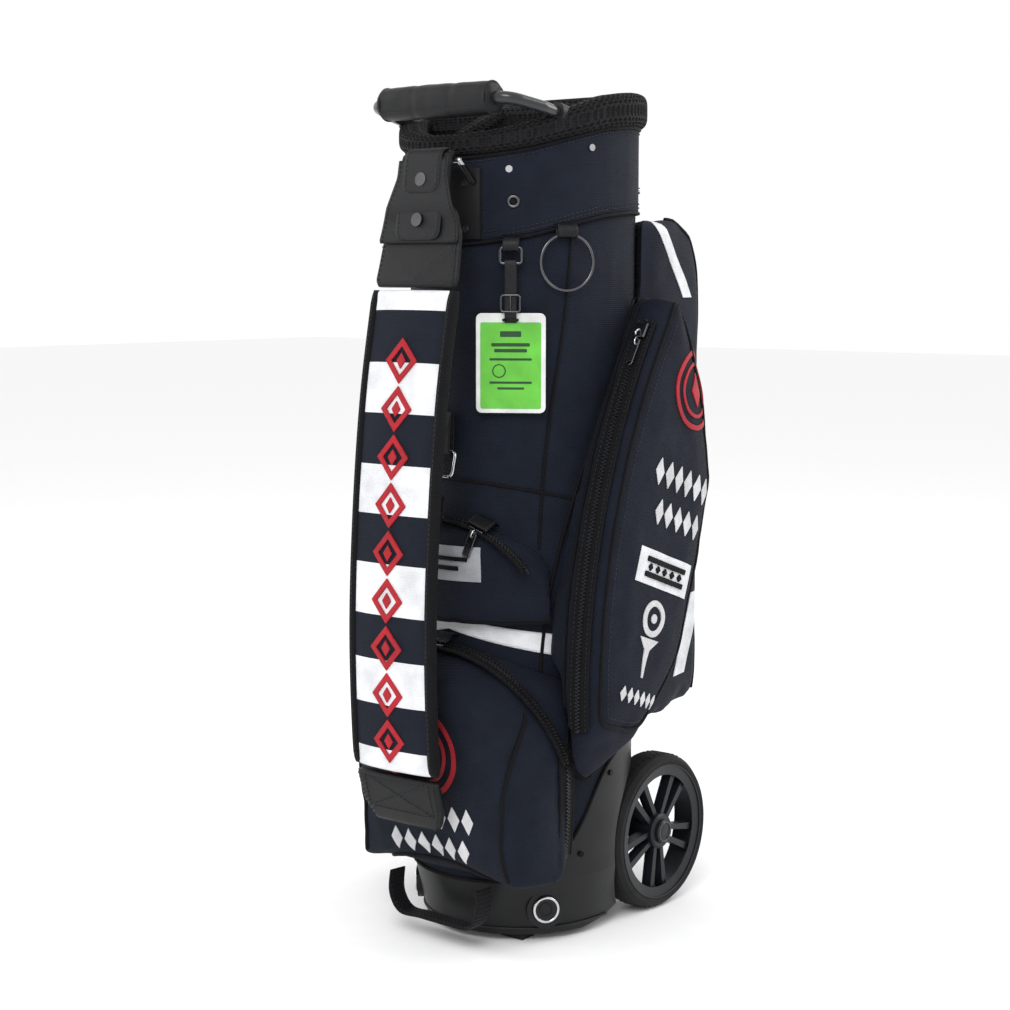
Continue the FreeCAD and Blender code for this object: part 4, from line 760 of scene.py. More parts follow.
def under_pressure(thing):
    """Where the points of a mesh are after a short cloth simulation with pressure and no gravity."""
    last_frame = 20
    cloth = thing.modifiers.new("cloth", "CLOTH")
    cloth.settings.use_pressure = True
    cloth.settings.uniform_pressure_force = 4.0
    cloth.settings.quality = 5
    cloth.settings.effector_weights.gravity = 0.0
    cloth.point_cache.frame_start = 1
    cloth.point_cache.frame_end = last_frame
    for step in range(1, last_frame + 1):
        bpy.context.scene.frame_set(step)
    settled = thing.evaluated_get(bpy.context.evaluated_depsgraph_get()).to_mesh()
    points = [v.co.copy() for v in settled.vertices]
    thing.modifiers.remove(cloth)
    bpy.context.scene.frame_set(1)
    return points


# Side pocket outlines below their front arc, seen from the side, as in the CAD source; metres about the axis.
SIDE_EDGE_REST = ((-0.070, 0.168), (-0.028, 0.190), (0.030, 0.234), (0.066, 0.268), (0.112, 0.386),
                  (0.138, 0.520),
                  (0.134, 0.610), (0.106, 0.676))
SIDE_ROOT_REST = ((-0.045, 0.180), (-0.020, 0.192)) + SIDE_EDGE_REST[2:]
SIDE_FACE_REST = ((-0.072, 0.250), (-0.022, 0.242), (0.024, 0.281), (0.050, 0.312), (0.084, 0.410),
                  (0.106, 0.490),
                  (0.092, 0.570), (0.066, 0.645))
SIDE_EDGE_ARC, SIDE_FACE_ARC, SIDE_ZIP_ARC = 0.700, 0.694, 0.706
SIDE_TOP, SIDE_EDGE_LOW, SIDE_FACE_LOW = 36.5, -7.0, -1.5


def side_arc(x, radius, low, count=12):
    """The front arc of a side pocket at a distance from the tube's axis, from its top down."""
    centre = Vector(JOINTS["side_zip_travel_right"]["pos_m"])
    angles = [math.radians(SIDE_TOP + (low - SIDE_TOP) * step / count) for step in range(count + 1)]
    return [Vector((x, centre.y - radius * math.cos(a), centre.z + radius * math.sin(a))) for a in angles]


def side_outline(x, radius, low, rest):
    """A closed line round the side pocket: the arc of its front edge, then its back and bottom."""
    back = [Vector((x, AXIS_Y + y, z)) for y, z in rest]
    return smooth_path(side_arc(x, radius, low) + back, 0.006, closed=True)


def shrunk(line, amount):
    """A closed side-view line moved inward by an amount."""
    out = []
    for k, point in enumerate(line):
        along = (line[(k + 1) % len(line)] - line[k - 1]).normalized()
        out.append(point + along.cross(RIGHT).normalized() * amount)
    return out


def side_pockets():
    _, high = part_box("side_pocket_right")
    edge = side_outline(0.128, SIDE_EDGE_ARC, SIDE_EDGE_LOW, SIDE_EDGE_REST)
    face = side_outline(high.x - 0.003, SIDE_FACE_ARC, SIDE_FACE_LOW, SIDE_FACE_REST)
    centre = middle("side_zip_right").x
    zip_lines = [smooth_path(side_arc(centre + d, SIDE_ZIP_ARC, -5.0), 0.006) for d in (-0.009, 0.0, 0.009)]
    pocket = puffed("side_pocket_cover_right", "side_pocket_right", 0.005, 0.0065, [edge, face] + zip_lines)
    covers = {"right": pocket, "left": mirrored_cover(pocket, "side_pocket_cover_left", "side_pocket_left")}
    tube_edge = side_outline(0.1, 0.691, SIDE_EDGE_LOW, SIDE_ROOT_REST)
    for side, sign in SIDES.items():
        skin = Skin(covers[side])
        for name, line in (("edge", edge), ("face", face)):
            laid = [skin.near(Vector((p.x * sign, p.y, p.z)), 0.0008) for p in line]
            laid = opened([p for p in laid[::2] if beside_ball_zip(p)])
            cord_line(f"side_piping_{name}_{side}", smooth_path(laid, 0.006), PIPING, "black")
        root = [on_tube(sign, p) for p in tube_edge if p.y < AXIS_Y + 0.10 and not in_ball_zone(p)]
        cord_line(f"side_piping_root_{side}", smooth_path(root[::3], 0.006), PIPING, "black")
        inset = [Vector((p.x * sign, p.y, p.z)) for p in shrunk(face, -0.0075)]
        run = [skin.seen(p + RIGHT * (sign * 0.1), RIGHT * -sign, 0.0002) for p in inset[::2]]
        stitches(f"side_stitches_{side}", run + run[:1], skin)
        side_marks(side, sign, skin)


def beside_ball_zip(point):
    """Whether a piping here is clear of the ball pocket's slider."""
    reach, along = ball_zip_place(point)
    return reach.length > 0.139 or along > 0.02


def opened(points):
    """A ring of points, some of them taken out, as one open line that starts after its widest gap."""
    gaps = [(points[k] - points[k - 1]).length for k in range(len(points))]
    first = gaps.index(max(gaps))
    line = points[first:] + points[:first]
    return line + line[:1] if max(gaps) < 0.02 else line


def on_tube(sign, point):
    """The place on the tube's surface level with a point of a side-view line."""
    share = min(0.98, abs(point.y - AXIS_Y) / TUBE_RY)
    return Vector((sign * (TUBE_RX * math.sqrt(1 - share * share) + 0.0014), point.y, point.z))


def in_ball_zone(point):
    """Whether a place is inside the ball pocket or the boot."""
    return point.z < boot_top(point.y) or (point.z < 0.215 and point.y < -0.05)


def mirrored_cover(source, name, node):
    """The same cover for the left side."""
    mesh = source.data.copy()
    mesh.transform(Matrix.Scale(-1, 4, RIGHT))
    mesh.flip_normals()
    made = placed(name, mesh)
    detail = made.modifiers.new("detail", "SUBSURF")
    detail.levels = detail.render_levels = 1
    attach(made, "bag")
    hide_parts(node)
    return made


def side_marks(side, sign, skin):
    """Plain geometric embroidery on the face: rings, rows of diamonds, a bordered patch and a ball on a tee."""
    tilt = -19.0

    def place(u, v):
        return Vector((sign * 0.3, AXIS_Y + u, v))

    def lay(name, shapes, material, thick=0.0014):
        patch(f"side_{name}_{side}", shapes, skin, place, RIGHT * -sign, material, thick)

    rings = ring_shape(0.074, 0.592, 0.043, 0.0055) + ring_shape(0.074, 0.592, 0.030, 0.004)
    lay("rings", rings + rhombus_shape(0.074, 0.592, 0.012, 0.019), "red")
    first = rhombus_row(6, -0.045, 0.018, 0, 0.0075, 0.015)
    second = rhombus_row(5, -0.036, 0.018, 0, 0.0075, 0.014)
    lay("row_1", turned_shapes(first, 0.046, 0.496, tilt), "embroidery")
    lay("row_2", turned_shapes(second, 0.036, 0.456, tilt), "embroidery")
    lay("patch", turned_shapes(box_shape(0, 0, 0.050, 0.0185), 0.012, 0.402, tilt), "white", 0.001)
    bars = box_shape(0, 0.008, 0.036, 0.0028) + box_shape(0, -0.008, 0.036, 0.0028)
    bars += rhombus_row(5, -0.028, 0.014, 0, 0.004, 0.0042)
    lay("patch_bars", turned_shapes(bars, 0.012, 0.402, tilt), "black", 0.003)
    tee = [[(-0.017, 0.002), (0.017, 0.002), (0.0045, -0.010), (-0.0045, -0.010)],
           [(-0.0045, -0.010), (0.0045, -0.010), (0.0012, -0.040), (-0.0012, -0.040)]]
    icon = ring_shape(0, 0.0235, 0.0195, 0.0065) + disc_shape(0, 0.0235, 0.005) + tee
    lay("icon", turned_shapes(icon, -0.016, 0.333, tilt), "embroidery")
    last = rhombus_row(7, -0.036, 0.012, 0, 0.0048, 0.0085)
    lay("row_3", turned_shapes(last, -0.026, 0.272, tilt), "embroidery")


TEETH_PITCH, ZIP_PIPING = 0.0019, 0.0016


def zip_teeth(name, line, out, across, body="bag"):
    """Two rows of interlocking teeth along a line; out and across give directions at each point."""
    verts, faces = [], []
    for k, point in enumerate(line):
        along = (line[min(k + 1, len(line) - 1)] - line[max(k - 1, 0)]).normalized()
        side, lift = across(k), out(k)
        offset = 0.0013 if k % 2 else -0.0013
        centre = point + side * offset + lift * 0.0011
        base = len(verts)
        for a in (-0.0007, 0.0007):
            for s, h in ((-0.0019, -0.0008), (0.0019, -0.0008), (0.0015, 0.0008), (-0.0015, 0.0008)):
                verts.append(centre + along * a + side * s + lift * h)
        faces += [(base, base + 1, base + 2, base + 3), (base + 7, base + 6, base + 5, base + 4)]
        faces += [(base + i, base + 4 + i, base + 4 + (i + 1) % 4, base + (i + 1) % 4) for i in range(4)]
    return piece(name, verts, faces, "teeth", body, smooth=False)


def arc_zip(name, joint_name, slider, band, before, after, half_tape=0.0105, lean=0.0):
    """Tape and teeth along the arc that the slider travels; angles in degrees from where it is parked.

    lean turns the tape's face from the arc's outer side towards the viewer in front, in degrees.
    """
    centre, axis = pin_of(joint_name)
    arm = middle(slider) - centre
    arm = arm - axis * arm.dot(axis)
    radius = arm.length - 0.0039
    arm = arm.normalized()
    sweep = after - before

    def at(angle, reach):
        return centre + (Matrix.Rotation(math.radians(angle), 4, axis) @ arm) * reach

    def face(angle):
        """The tape's outward direction and the direction across it."""
        out = (at(angle, 1.0) - centre).normalized()
        turn = Matrix.Rotation(math.radians(lean), 4, axis.cross(out))
        return turn @ out, turn @ axis

    count = max(12, round(math.radians(sweep) * radius / TEETH_PITCH))
    angles = [before + sweep * k / count for k in range(count + 1)]
    tape, _ = ribbon(f"{name}_tape", [at(a, radius) for a in angles[::6]],
                     lambda share: face(before + sweep * share)[1], half_tape, 0.0009, "black",
                     spacing=0.006, power=(0.2, 0.6), around=16)
    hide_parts(band)
    zip_teeth(f"{name}_teeth", [at(a, radius) + face(a)[0] * 0.0006 for a in angles],
              lambda k: face(angles[k])[0], lambda k: face(angles[k])[1])

    def beside(step, lift, shift):
        """A line along the tape, lifted off its face and moved across it."""
        return [at(a, radius) + face(a)[0] * lift + face(a)[1] * shift for a in angles[::step]]

    for where, edge in (("low", -1), ("high", 1)):
        cord_line(f"{name}_piping_{where}", beside(4, 0.0004, edge * (half_tape + 0.0008)), ZIP_PIPING,
                  "black")
        stitches(f"{name}_stitches_{where}", beside(3, 0.0011, edge * (half_tape - 0.0013)),
                 lambda share: face(before + sweep * share)[0])


def zips():
    arc_zip("ball_zip", "ball_zip_travel", "ball_slider", "ball_zip", -90, 90, lean=-20)
    arc_zip("small_zip", "small_zip_travel", "small_slider", "small_zip", -87, 37, 0.0095, lean=-28)
    for side, sign in SIDES.items():
        arc_zip(f"side_zip_{side}", f"side_zip_travel_{side}", f"side_slider_{side}", f"side_zip_{side}",
                -1.2, 34.8)
        leg = [(0.1268, -0.0895, 0.212), (0.1266, -0.0885, 0.185), (0.1250, -0.0870, 0.145),
               (0.1215, -0.0860, 0.102)]
        path = [Vector((x * sign, y, z)) for x, y, z in leg]
        ribbon(f"ball_zip_leg_{side}", path, BACK, 0.0098, 0.001, "black", power=(0.2, 0.6), around=16)
        dense = smooth_path(path, TEETH_PITCH)
        zip_teeth(f"ball_zip_leg_teeth_{side}", [p + RIGHT * (sign * 0.0007) for p in dense],
                  lambda k, s=sign: RIGHT * s, lambda k: BACK)
        for where, edge in (("front", -1), ("back", 1)):
            cord_line(f"ball_zip_leg_piping_{side}_{where}",
                      [p + BACK * (edge * 0.0108) for p in dense[::4]],
                      ZIP_PIPING, "black")
    low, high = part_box("back_zip")
    x, y = (low.x + high.x) / 2, low.y + 0.0006
    line = [Vector((x, y, low.z + (high.z - low.z) * k / 8)) for k in range(9)]
    tape, _ = ribbon("back_zip_tape", line, RIGHT * -1, 0.0105, 0.0009, "black", power=(0.2, 0.6), around=16)
    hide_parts("back_zip")
    steps = round((high.z - low.z) / TEETH_PITCH)
    dense = [Vector((x, y + 0.0006, low.z + (high.z - low.z) * k / steps)) for k in range(steps)]
    zip_teeth("back_zip_teeth", dense, lambda k: BACK, lambda k: RIGHT)
    for where, edge in (("left", -1), ("right", 1)):
        cord_line(f"back_zip_piping_{where}", [p + RIGHT * (edge * 0.0115) for p in line], ZIP_PIPING,
                  "black")


def zip_hardware():
    """A bridge on each slider and a loop through each pull, riding with them."""
    for stem in ("ball", "small", "side", "back"):
        for tail in (("_right", "_left") if stem == "side" else ("",)):
            slider, pull = f"{stem}_slider{tail}", f"{stem}_pull{tail}"
            centre, hang = middle(slider), middle(pull)
            pivot, axis = pin_of(f"{stem}_pull_swing{tail}")
            drop = (hang - pivot).normalized()
            out = axis.cross(drop)
            ring = [pivot + drop * (0.0042 * math.cos(t) + 0.002) + out * (0.0042 * math.sin(t))
                    for t in turns(24)]
            cord_line(f"{stem}_pull_link{tail}", ring, 0.0008, "chrome", pull, closed=True)
            tip = pivot + drop * 0.0265
            ring = [tip + drop * (0.0035 * math.cos(t)) + axis * (0.0035 * math.sin(t)) for t in turns(24)]
            cord_line(f"{stem}_pull_tip{tail}", ring, 0.0009, "gunmetal", pull, closed=True)
            bridge = [centre + (pivot - centre) * t + out * (0.0042 * math.sin(math.pi * t) + 0.0028)
                      for t in [k / 14 for k in range(11)]]
            cord_line(f"{stem}_slider_bridge{tail}", bridge, 0.0011, "chrome", slider)


def front_pockets():
    """The ball pocket and the small pocket above it."""
    low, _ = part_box("ball_pocket")
    zip_centre = Vector(JOINTS["ball_zip_travel"]["pos_m"])
    zip_axis = Vector(JOINTS["ball_zip_travel"]["axis"])
    arcs = [[p for p in ring_points(zip_centre + zip_axis * d, zip_axis, 0.127, 90) if p.z > zip_centre.z]
            for d in (-0.010, 0.0, 0.010)]
    seam_line = ((0.115, -0.1345, 0.268), (0.108, -0.1495, 0.233), (0.103, -0.1605, 0.193),
                 (0.0998, -0.1675, 0.148),
                 (0.0985, -0.1685, 0.108), (0.1016, -0.1635, 0.083))
    seams = {side: smooth_path([(sign * x, y, z) for x, y, z in seam_line], 0.006) for side,
             sign in SIDES.items()}
    legs = [[Vector((sign * 0.125, -0.089 + d, z / 1000)) for z in range(96, 212, 6)]
            for sign in (1, -1) for d in (-0.010, 0.010)]
    pocket = puffed("ball_pocket_cover", "ball_pocket", 0.005, 0.0075, arcs + legs + list(seams.values()))
    skin = Skin(pocket)
    for side in SIDES:
        seam = [skin.near(p, 0.0008) for p in seams[side]][::2]
        cord_line(f"ball_piping_{side}", smooth_path(seam, 0.006), PIPING, "black")
    hem = [skin.near(Vector((0.124 * math.sin(a), AXIS_Y - 0.168 * math.cos(a), low.z + 0.006)), 0.0006)
           for a in [math.radians(t) for t in range(-74, 75, 4)]]
    cord_line("ball_hem_piping", smooth_path(hem, 0.008), 0.0023, "black")

    def place(u, v):
        return Vector((u, -0.4, v))

    rings = ring_shape(0, 0.218, 0.052, 0.006) + ring_shape(0, 0.218, 0.038, 0.0045)
    patch("ball_rings", rings + rhombus_shape(0, 0.218, 0.015, 0.023), skin, place, BACK, "red")
    patch("ball_row_1", rhombus_row(7, -0.057, 0.019, 0.147, 0.008, 0.0145), skin, place, BACK, "embroidery")
    patch("ball_row_2", rhombus_row(6, -0.0475, 0.019, 0.112, 0.008, 0.0135), skin, place, BACK,
          "embroidery")
    small_low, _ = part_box("small_pocket")
    zip_centre = Vector(JOINTS["small_zip_travel"]["pos_m"])
    small_arc = ring_points(zip_centre, Vector(JOINTS["small_zip_travel"]["axis"]), 0.106, 72)
    small_arc = [p for p in small_arc if p.z > zip_centre.z]
    foot = [on_oval(a, small_low.z + 0.002, 0.015) for a in range(-60, 61, 4)]
    small = puffed("small_pocket_cover", "small_pocket", 0.0035, 0.0045, [small_arc, foot])
    skin = Skin(small)
    cord_line("small_hem_piping", smooth_path([skin.near(p, 0.0006) for p in foot], 0.006), 0.0018, "black")
    patch("small_label", box_shape(0, 0.4145, 0.050, 0.0185), skin, place, BACK, "silver", 0.0012)
    marks = box_shape(0, 0.4195, 0.036, 0.0022) + box_shape(0, 0.4095, 0.026, 0.0022)
    patch("small_label_bars", marks, skin, place, BACK, "black", 0.003)


def back_pocket():
    low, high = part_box("back_pocket")
    half = 0.096
    seams = []
    for sign in (1, -1):
        yz = ((high.y - 0.020, low.z + 0.02), (high.y - 0.008, low.z + 0.06), (high.y - 0.008, 0.5),
              (high.y - 0.008, high.z - 0.10), (high.y - 0.038, high.z - 0.028), (0.13, high.z - 0.006))
        seams.append(smooth_path([(sign * (half - 0.002), y, z) for y, z in yz], 0.008))
    box_low, box_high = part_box("back_zip")
    x = (box_low.x + box_high.x) / 2
    zip_seam = [Vector((x, high.y, box_low.z + (box_high.z - box_low.z) * k / 60)) for k in range(61)]
    pocket = puffed("back_pocket_cover", "back_pocket", 0.007, 0.006, seams + [zip_seam])
    skin = Skin(pocket)
    for side, line in zip(SIDES, seams):
        seam = [skin.near(p, 0.0008) for p in line][::2]
        cord_line(f"back_piping_{side}", smooth_path(seam, 0.008), PIPING, "black")
    for side, sign in SIDES.items():
        def place(u, v, s=sign):
            return Vector((s * 0.3, u, v))
        top = [[(0.078, 0.772), (0.100, 0.772), (0.168, 0.690), (0.146, 0.690)]]
        foot = [[(0.130, 0.262), (0.160, 0.262), (0.208, 0.352), (0.178, 0.352)]]
        patch(f"back_accents_{side}", top + foot, skin, place, RIGHT * -sign, "white", 0.0012)


# ---------------------------------------------------------------- shoulder strap

# Middle line of the strap in side view, as in the CAD source: distance in front of the axis, height.
STRAP_LINE = ((0.162, 0.770), (0.176, 0.702), (0.197, 0.588), (0.210, 0.465), (0.216, 0.341), (0.212, 0.222),
              (0.203, 0.178), (0.190, 0.142))
WHITE_BANDS = ((0.679, 0.707), (0.575, 0.626), (0.472, 0.522), (0.368, 0.420), (0.273, 0.322),
               (0.190, 0.227))


def strap_path(high, low):
    """The part of the strap's middle line between two heights."""
    line = smooth_path([(0, AXIS_Y - y, z) for y, z in STRAP_LINE], 0.004)
    return [p for p in line if low <= p.z <= high]


def widths(*table):
    """A half width as a function of the share along a strip."""
    return lambda share: step_between(table, share)


def strap():
    body = "strap"
    path = strap_path(0.7012, 0.2008)
    pad, rows = ribbon("strap_cover", path[::3] + path[-1:], RIGHT, 0.0530, 0.0054, "navy", body,
                       spacing=0.0025,
                       power=(0.42, 0.8), crown=0.0035, around=64)
    flip_outward(pad, rows)
    pad.data.materials.append(M["white"])
    for face in pad.data.polygons:
        z = face.center.z
        if any(low < z < high for low, high in WHITE_BANDS):
            face.material_index = 1
    for vert in pad.data.vertices:
        ripple = noise.noise(Vector((vert.co.x * 22, 4.0, vert.co.z * 22))) * 0.0012
        vert.co.y += ripple * (1 - (vert.co.x / 0.056) ** 2)
    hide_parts("strap_pad")
    for side, sign in SIDES.items():
        edge = [p + RIGHT * (sign * 0.0520) for p in path]
        binding, edge_rows = ribbon(f"strap_binding_{side}", edge[::4] + edge[-1:], RIGHT, 0.0052, 0.0066,
                                    "black",
                                    body, power=(0.7, 0.7), around=20)
        flip_outward(binding, edge_rows)
        stitches(f"strap_stitches_{side}", [p + BACK * -0.02 for p in edge[::2]], Skin(binding), body=body)
    skin = Skin(pad)

    def place(u, v):
        return Vector((u, -0.5, v))

    outlines, centres = [], []
    for k in range(9):
        v = 0.628 - 0.049 * k
        outlines += rhombus_ring(0, v, 0.021, 0.0235, 0.62)
        centres += rhombus_shape(0, v, 0.006, 0.0085)
    patch("strap_argyle", outlines, skin, place, BACK, "red", 0.0018, body)
    patch("strap_argyle_hearts", centres, skin, place, BACK, "red", 0.0018, body)
    strap_ends(body)


def flip_outward(thing, rows):
    """Turns the faces so that they look away from the strip's middle line."""
    middle_point = rows[len(rows) // 2][0]
    face = min(thing.data.polygons, key=lambda f: (f.center - middle_point).length)
    if face.normal.dot(face.center - middle_point) < 0:
        thing.data.flip_normals()


def leather_strip(name, path, across, half_width, thick, body, node=None, power=(0.18, 0.6), inset=0.004,
                  material="leather", outward=None, spacing=0.006):
    """A leather or web strip with stitching along both edges."""
    strip, rows = ribbon(name, path, across, half_width, thick, material, body, spacing=spacing, power=power,
                         around=24, end_round=0.35)
    flip_outward(strip, rows)
    if node:
        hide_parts(node)
    facing = 1.0
    if outward is not None and rows[len(rows) // 2][1].dot(outward) < 0:
        facing = -1.0
    for tail, edge in (("a", -1), ("b", 1)):
        run = [p + side * (edge * (w - inset)) + n * (facing * thick) for p, n, side, w in rows]
        stitches(f"{name}_stitches_{tail}", run, rows[len(rows) // 2][1] * facing, body=body)


def strap_ends(body):
    """The leather yoke with its flap, the end cap, and the tongue that is folded over the bar."""
    bar = Vector(JOINTS["strap_swing"]["pos_m"])

    def off_bar(*places):
        """Points of the strap's middle plane, counted from its bar."""
        return [bar + Vector((0, y, z)) for y, z in places]

    def off_axis(*places):
        """Points of the same plane: distance in front of the tube's axis, height."""
        return [Vector((0, AXIS_Y - y, z)) for y, z in places]

    def strip(name, path, width, thick, node=None, power=(0.18, 0.6), inset=0.004, spacing=0.006):
        leather_strip(name, path, RIGHT, widths(*width), thick, body, node, power, inset, outward=FRONT,
                      spacing=spacing)

    yoke = off_bar((0.0015, 0.0068), (-0.0068, 0.0035), (-0.0105, -0.02), (-0.0145, -0.045))
    strip("strap_yoke_leather", yoke + off_axis((0.1625, 0.768), (0.176, 0.7025)),
          ((0.0, 0.032), (0.28, 0.033), (0.62, 0.0515), (0.93, 0.0555), (1.0, 0.0515)), 0.0045, "strap_yoke",
          power=(0.16, 0.6), spacing=0.004)
    flap = off_bar((-0.0125, 0.001), (-0.0160, -0.022), (-0.0202, -0.047))
    strip("strap_yoke_flap", flap + off_axis((0.1697, 0.768), (0.1735, 0.7475)),
          ((0.0, 0.0335), (0.22, 0.034), (0.75, 0.0505), (0.95, 0.0535), (1.0, 0.052)), 0.0014,
          power=(0.16, 0.6), spacing=0.004, inset=0.0035)
    for tail, sign in (("a", -1), ("b", 1)):
        points = [Vector((sign * 0.047 * (1 - k / 12), AXIS_Y - 0.1764 - 0.0006 * k, 0.7445 - 0.0029 * k))
                  for k in range(13)]
        stitches(f"strap_yoke_cross_{tail}", points, FRONT, body=body)
    foot = [Vector((x / 1000, AXIS_Y - 0.1830, 0.7065)) for x in range(-47, 48, 4)]
    stitches("strap_yoke_foot_stitches", foot, FRONT, body=body)
    cap = strap_path(0.1995, 0.1425)
    strip("strap_end_leather", cap[::3] + cap[-1:], ((0.0, 0.0555), (0.55, 0.0545), (1.0, 0.0405)), 0.0058,
          "strap_end", power=(0.16, 0.6))
    cross_stitching("strap_end_cross", 0.194, 0.157, 0.044, body)
    strip("strap_tongue_leather", off_bar((-0.0113, 0.003), (-0.0183, -0.041), (-0.0241, -0.0810)),
          ((0.0, 0.0262), (0.25, 0.0275), (0.5, 0.0305), (0.88, 0.0305), (0.96, 0.027), (1.0, 0.019)),
          0.0014,
          "strap_tongue", spacing=0.003)
    tongue = off_bar((0.0042, 0.004), (-0.001, 0.0118), (-0.0096, 0.009), (-0.0135, 0.0), (-0.0187, -0.033))
    strip("strap_tongue_top", tongue, ((0.0, 0.025), (0.86, 0.025), (0.95, 0.0215), (1.0, 0.014)), 0.0012,
          spacing=0.003)
    wire = [bar + Vector((x, 0, 0)) for x in (-0.03, 0.03)]
    cord_line("strap_bar_sleeve", wire, 0.0042, "leather", body)


def cross_stitching(name, high, low, half, body):
    """A stitched box with crossed diagonals on the strap's front."""
    line = strap_path(high + 0.02, low - 0.02)

    def on_strap(x, z):
        near = min(line, key=lambda p: abs(p.z - z))
        return Vector((x, near.y - 0.0062 - 0.0004, z))

    corners = {"a": (-half, high), "b": (half, high), "c": (half, low), "d": (-half, low)}
    for start, end in ("ab", "bc", "cd", "da", "ac", "bd"):
        (x0, z0), (x1, z1) = corners[start], corners[end]
        points = [on_strap(x0 + (x1 - x0) * k / 16, z0 + (z1 - z0) * k / 16) for k in range(17)]
        stitches(f"{name}_{start}{end}", points, FRONT, body=body)


# Middle line of the web, in the same measures as the strap's.
WEB_LINE = ((0.186, 0.163), (0.186, 0.215), (0.1856, 0.270), (0.181, 0.330), (0.171, 0.400), (0.161, 0.452),
            (0.155, 0.486))


def straps_and_tabs():
    """The web behind the strap, the lift loop, and the leather tabs that hold rings."""
    web = [Vector((0, AXIS_Y - y, z)) for y, z in WEB_LINE]
    leather_strip("strap_web_band", web, RIGHT, 0.019, 0.0013, "strap_link", "strap_web",
                  material="web", outward=FRONT, inset=0.0035)
    low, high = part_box("lift_loop")
    y = (low.y + high.y) / 2
    loop = [(low.x + 0.0015, y, high.z), (low.x + 0.001, y - 0.001, 0.046), (low.x + 0.014, y, 0.0275),
            (-0.02, y + 0.002, 0.0262), (0.02, y + 0.001, 0.0258), (high.x - 0.014, y, 0.0275),
            (high.x - 0.001, y - 0.001, 0.046), (high.x - 0.0015, y, high.z)]
    leather_strip("lift_loop_web", [Vector(p) for p in loop], BACK, 0.012, 0.0014, "bag", "lift_loop",
                  material="web", inset=0.003, spacing=0.005)
    for name, joint in (("spine_tab", "strap_link_swing"), ("towel_tab", "towel_ring_swing"),
                        ("tag_tab", "tag_ring_swing")):
        fold_tab(name, Vector(JOINTS[joint]["pos_m"]))


def fold_tab(name, pivot):
    """A leather tab folded round a ring's wire; the two below the collar come out from under its seam."""
    _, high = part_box(name)
    out = Vector((pivot.x, pivot.y - AXIS_Y, 0)).normalized()
    side = UP.cross(out).normalized()
    half = {"spine_tab": 0.0092, "towel_tab": 0.0112, "tag_tab": 0.0086}[name]
    wrap = 0.0031
    hung = name != "spine_tab"
    rise = (slant(COLLAR_LOW, pivot.y) + 0.003 if hung else high.z) - pivot.z
    tuck = 0.0045 if hung else 0.0
    path = [pivot - out * (wrap + tuck) + UP * rise, pivot - out * wrap + UP * 0.004,
            pivot - out * wrap * 0.8 - UP * 0.002, pivot - UP * wrap, pivot + out * wrap * 0.8 - UP * 0.002,
            pivot + out * wrap + UP * 0.004, pivot + out * (wrap * 0.5 - tuck * 0.3) + UP * rise * 0.7,
            pivot - out * (wrap * 0.2 + tuck) + UP * rise]
    leather_strip(f"{name}_leather", path, side, half, 0.0012, "bag", name, outward=out, inset=0.002,
                  spacing=0.0025)
    if not hung:
        rivet = pivot + out * (wrap * 0.62 + 0.0012) + UP * rise * 0.55
        dome(f"{name}_rivet", rivet, out, 0.0034, 0.0016, "chrome")


def dome(name, centre, out, radius, height, material, body="bag", rings=5, count=24):
    """A low round head with a rolled edge."""
    turn = out.to_track_quat("Z", "Y")
    verts = []
    for i in range(rings + 1):
        tilt = math.pi / 2 * i / rings
        reach = radius * math.cos(tilt) ** 0.6 if i < rings else 0.0
        for a in turns(count):
            spot = Vector((reach * math.cos(a), reach * math.sin(a), height * math.sin(tilt)))
            verts.append(centre + turn @ spot)
    return piece(name, verts, grid_faces(rings + 1, count, wrap_columns=True), material, body)


# ---------------------------------------------------------------- handle, tag, boot and wheels

def handle():
    """The stitched leather grip with collars at its ends."""
    low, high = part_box("handle_grip")
    centre = (low + high) / 2
    reach = high.x
    path = [Vector((reach * t, centre.y, centre.z))
            for t in (-0.995, -0.97, -0.6, -0.2, 0.2, 0.6, 0.97, 0.995)]

    def thick(share):
        bulge = 1.0 - 0.07 * abs(2 * share - 1) ** 2
        crease = 1.0 - 0.03 * max(0.0, math.cos(2 * math.pi * (share * 3))) ** 8
        return 0.0176 * bulge * crease

    grip, rows = ribbon("grip_wrap", path, BACK, lambda s: thick(s) * 0.9, thick, "leather", "bag",
                        spacing=0.003,
                        power=(0.8, 0.8), around=48, end_round=0.22)
    flip_outward(grip, rows)
    for vert in grip.data.vertices:
        vert.co += vert.normal * noise.noise(vert.co * 70) * 0.0005
    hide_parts("handle_grip")
    seam = [Vector((reach * t / 20 * 0.97, centre.y - 0.020, centre.z - 0.012)) for t in range(-20, 21)]
    stitches("grip_seam", seam, Skin(grip), length=0.0042)
    for side, sign in SIDES.items():
        for k, inset in enumerate((0.004, 0.009)):
            loop = [Vector((sign * (reach - inset), centre.y + 0.0148 * math.cos(a),
                            centre.z + 0.0163 * math.sin(a))) for a in turns(40)]
            if k == 0:
                cord_line(f"grip_edge_{side}", loop, 0.0014, "leather", closed=True)
            else:
                stitches(f"grip_end_stitches_{side}", loop + loop[:1],
                         lambda share: Vector((0, math.cos(2 * math.pi * share),
                                               math.sin(2 * math.pi * share))))


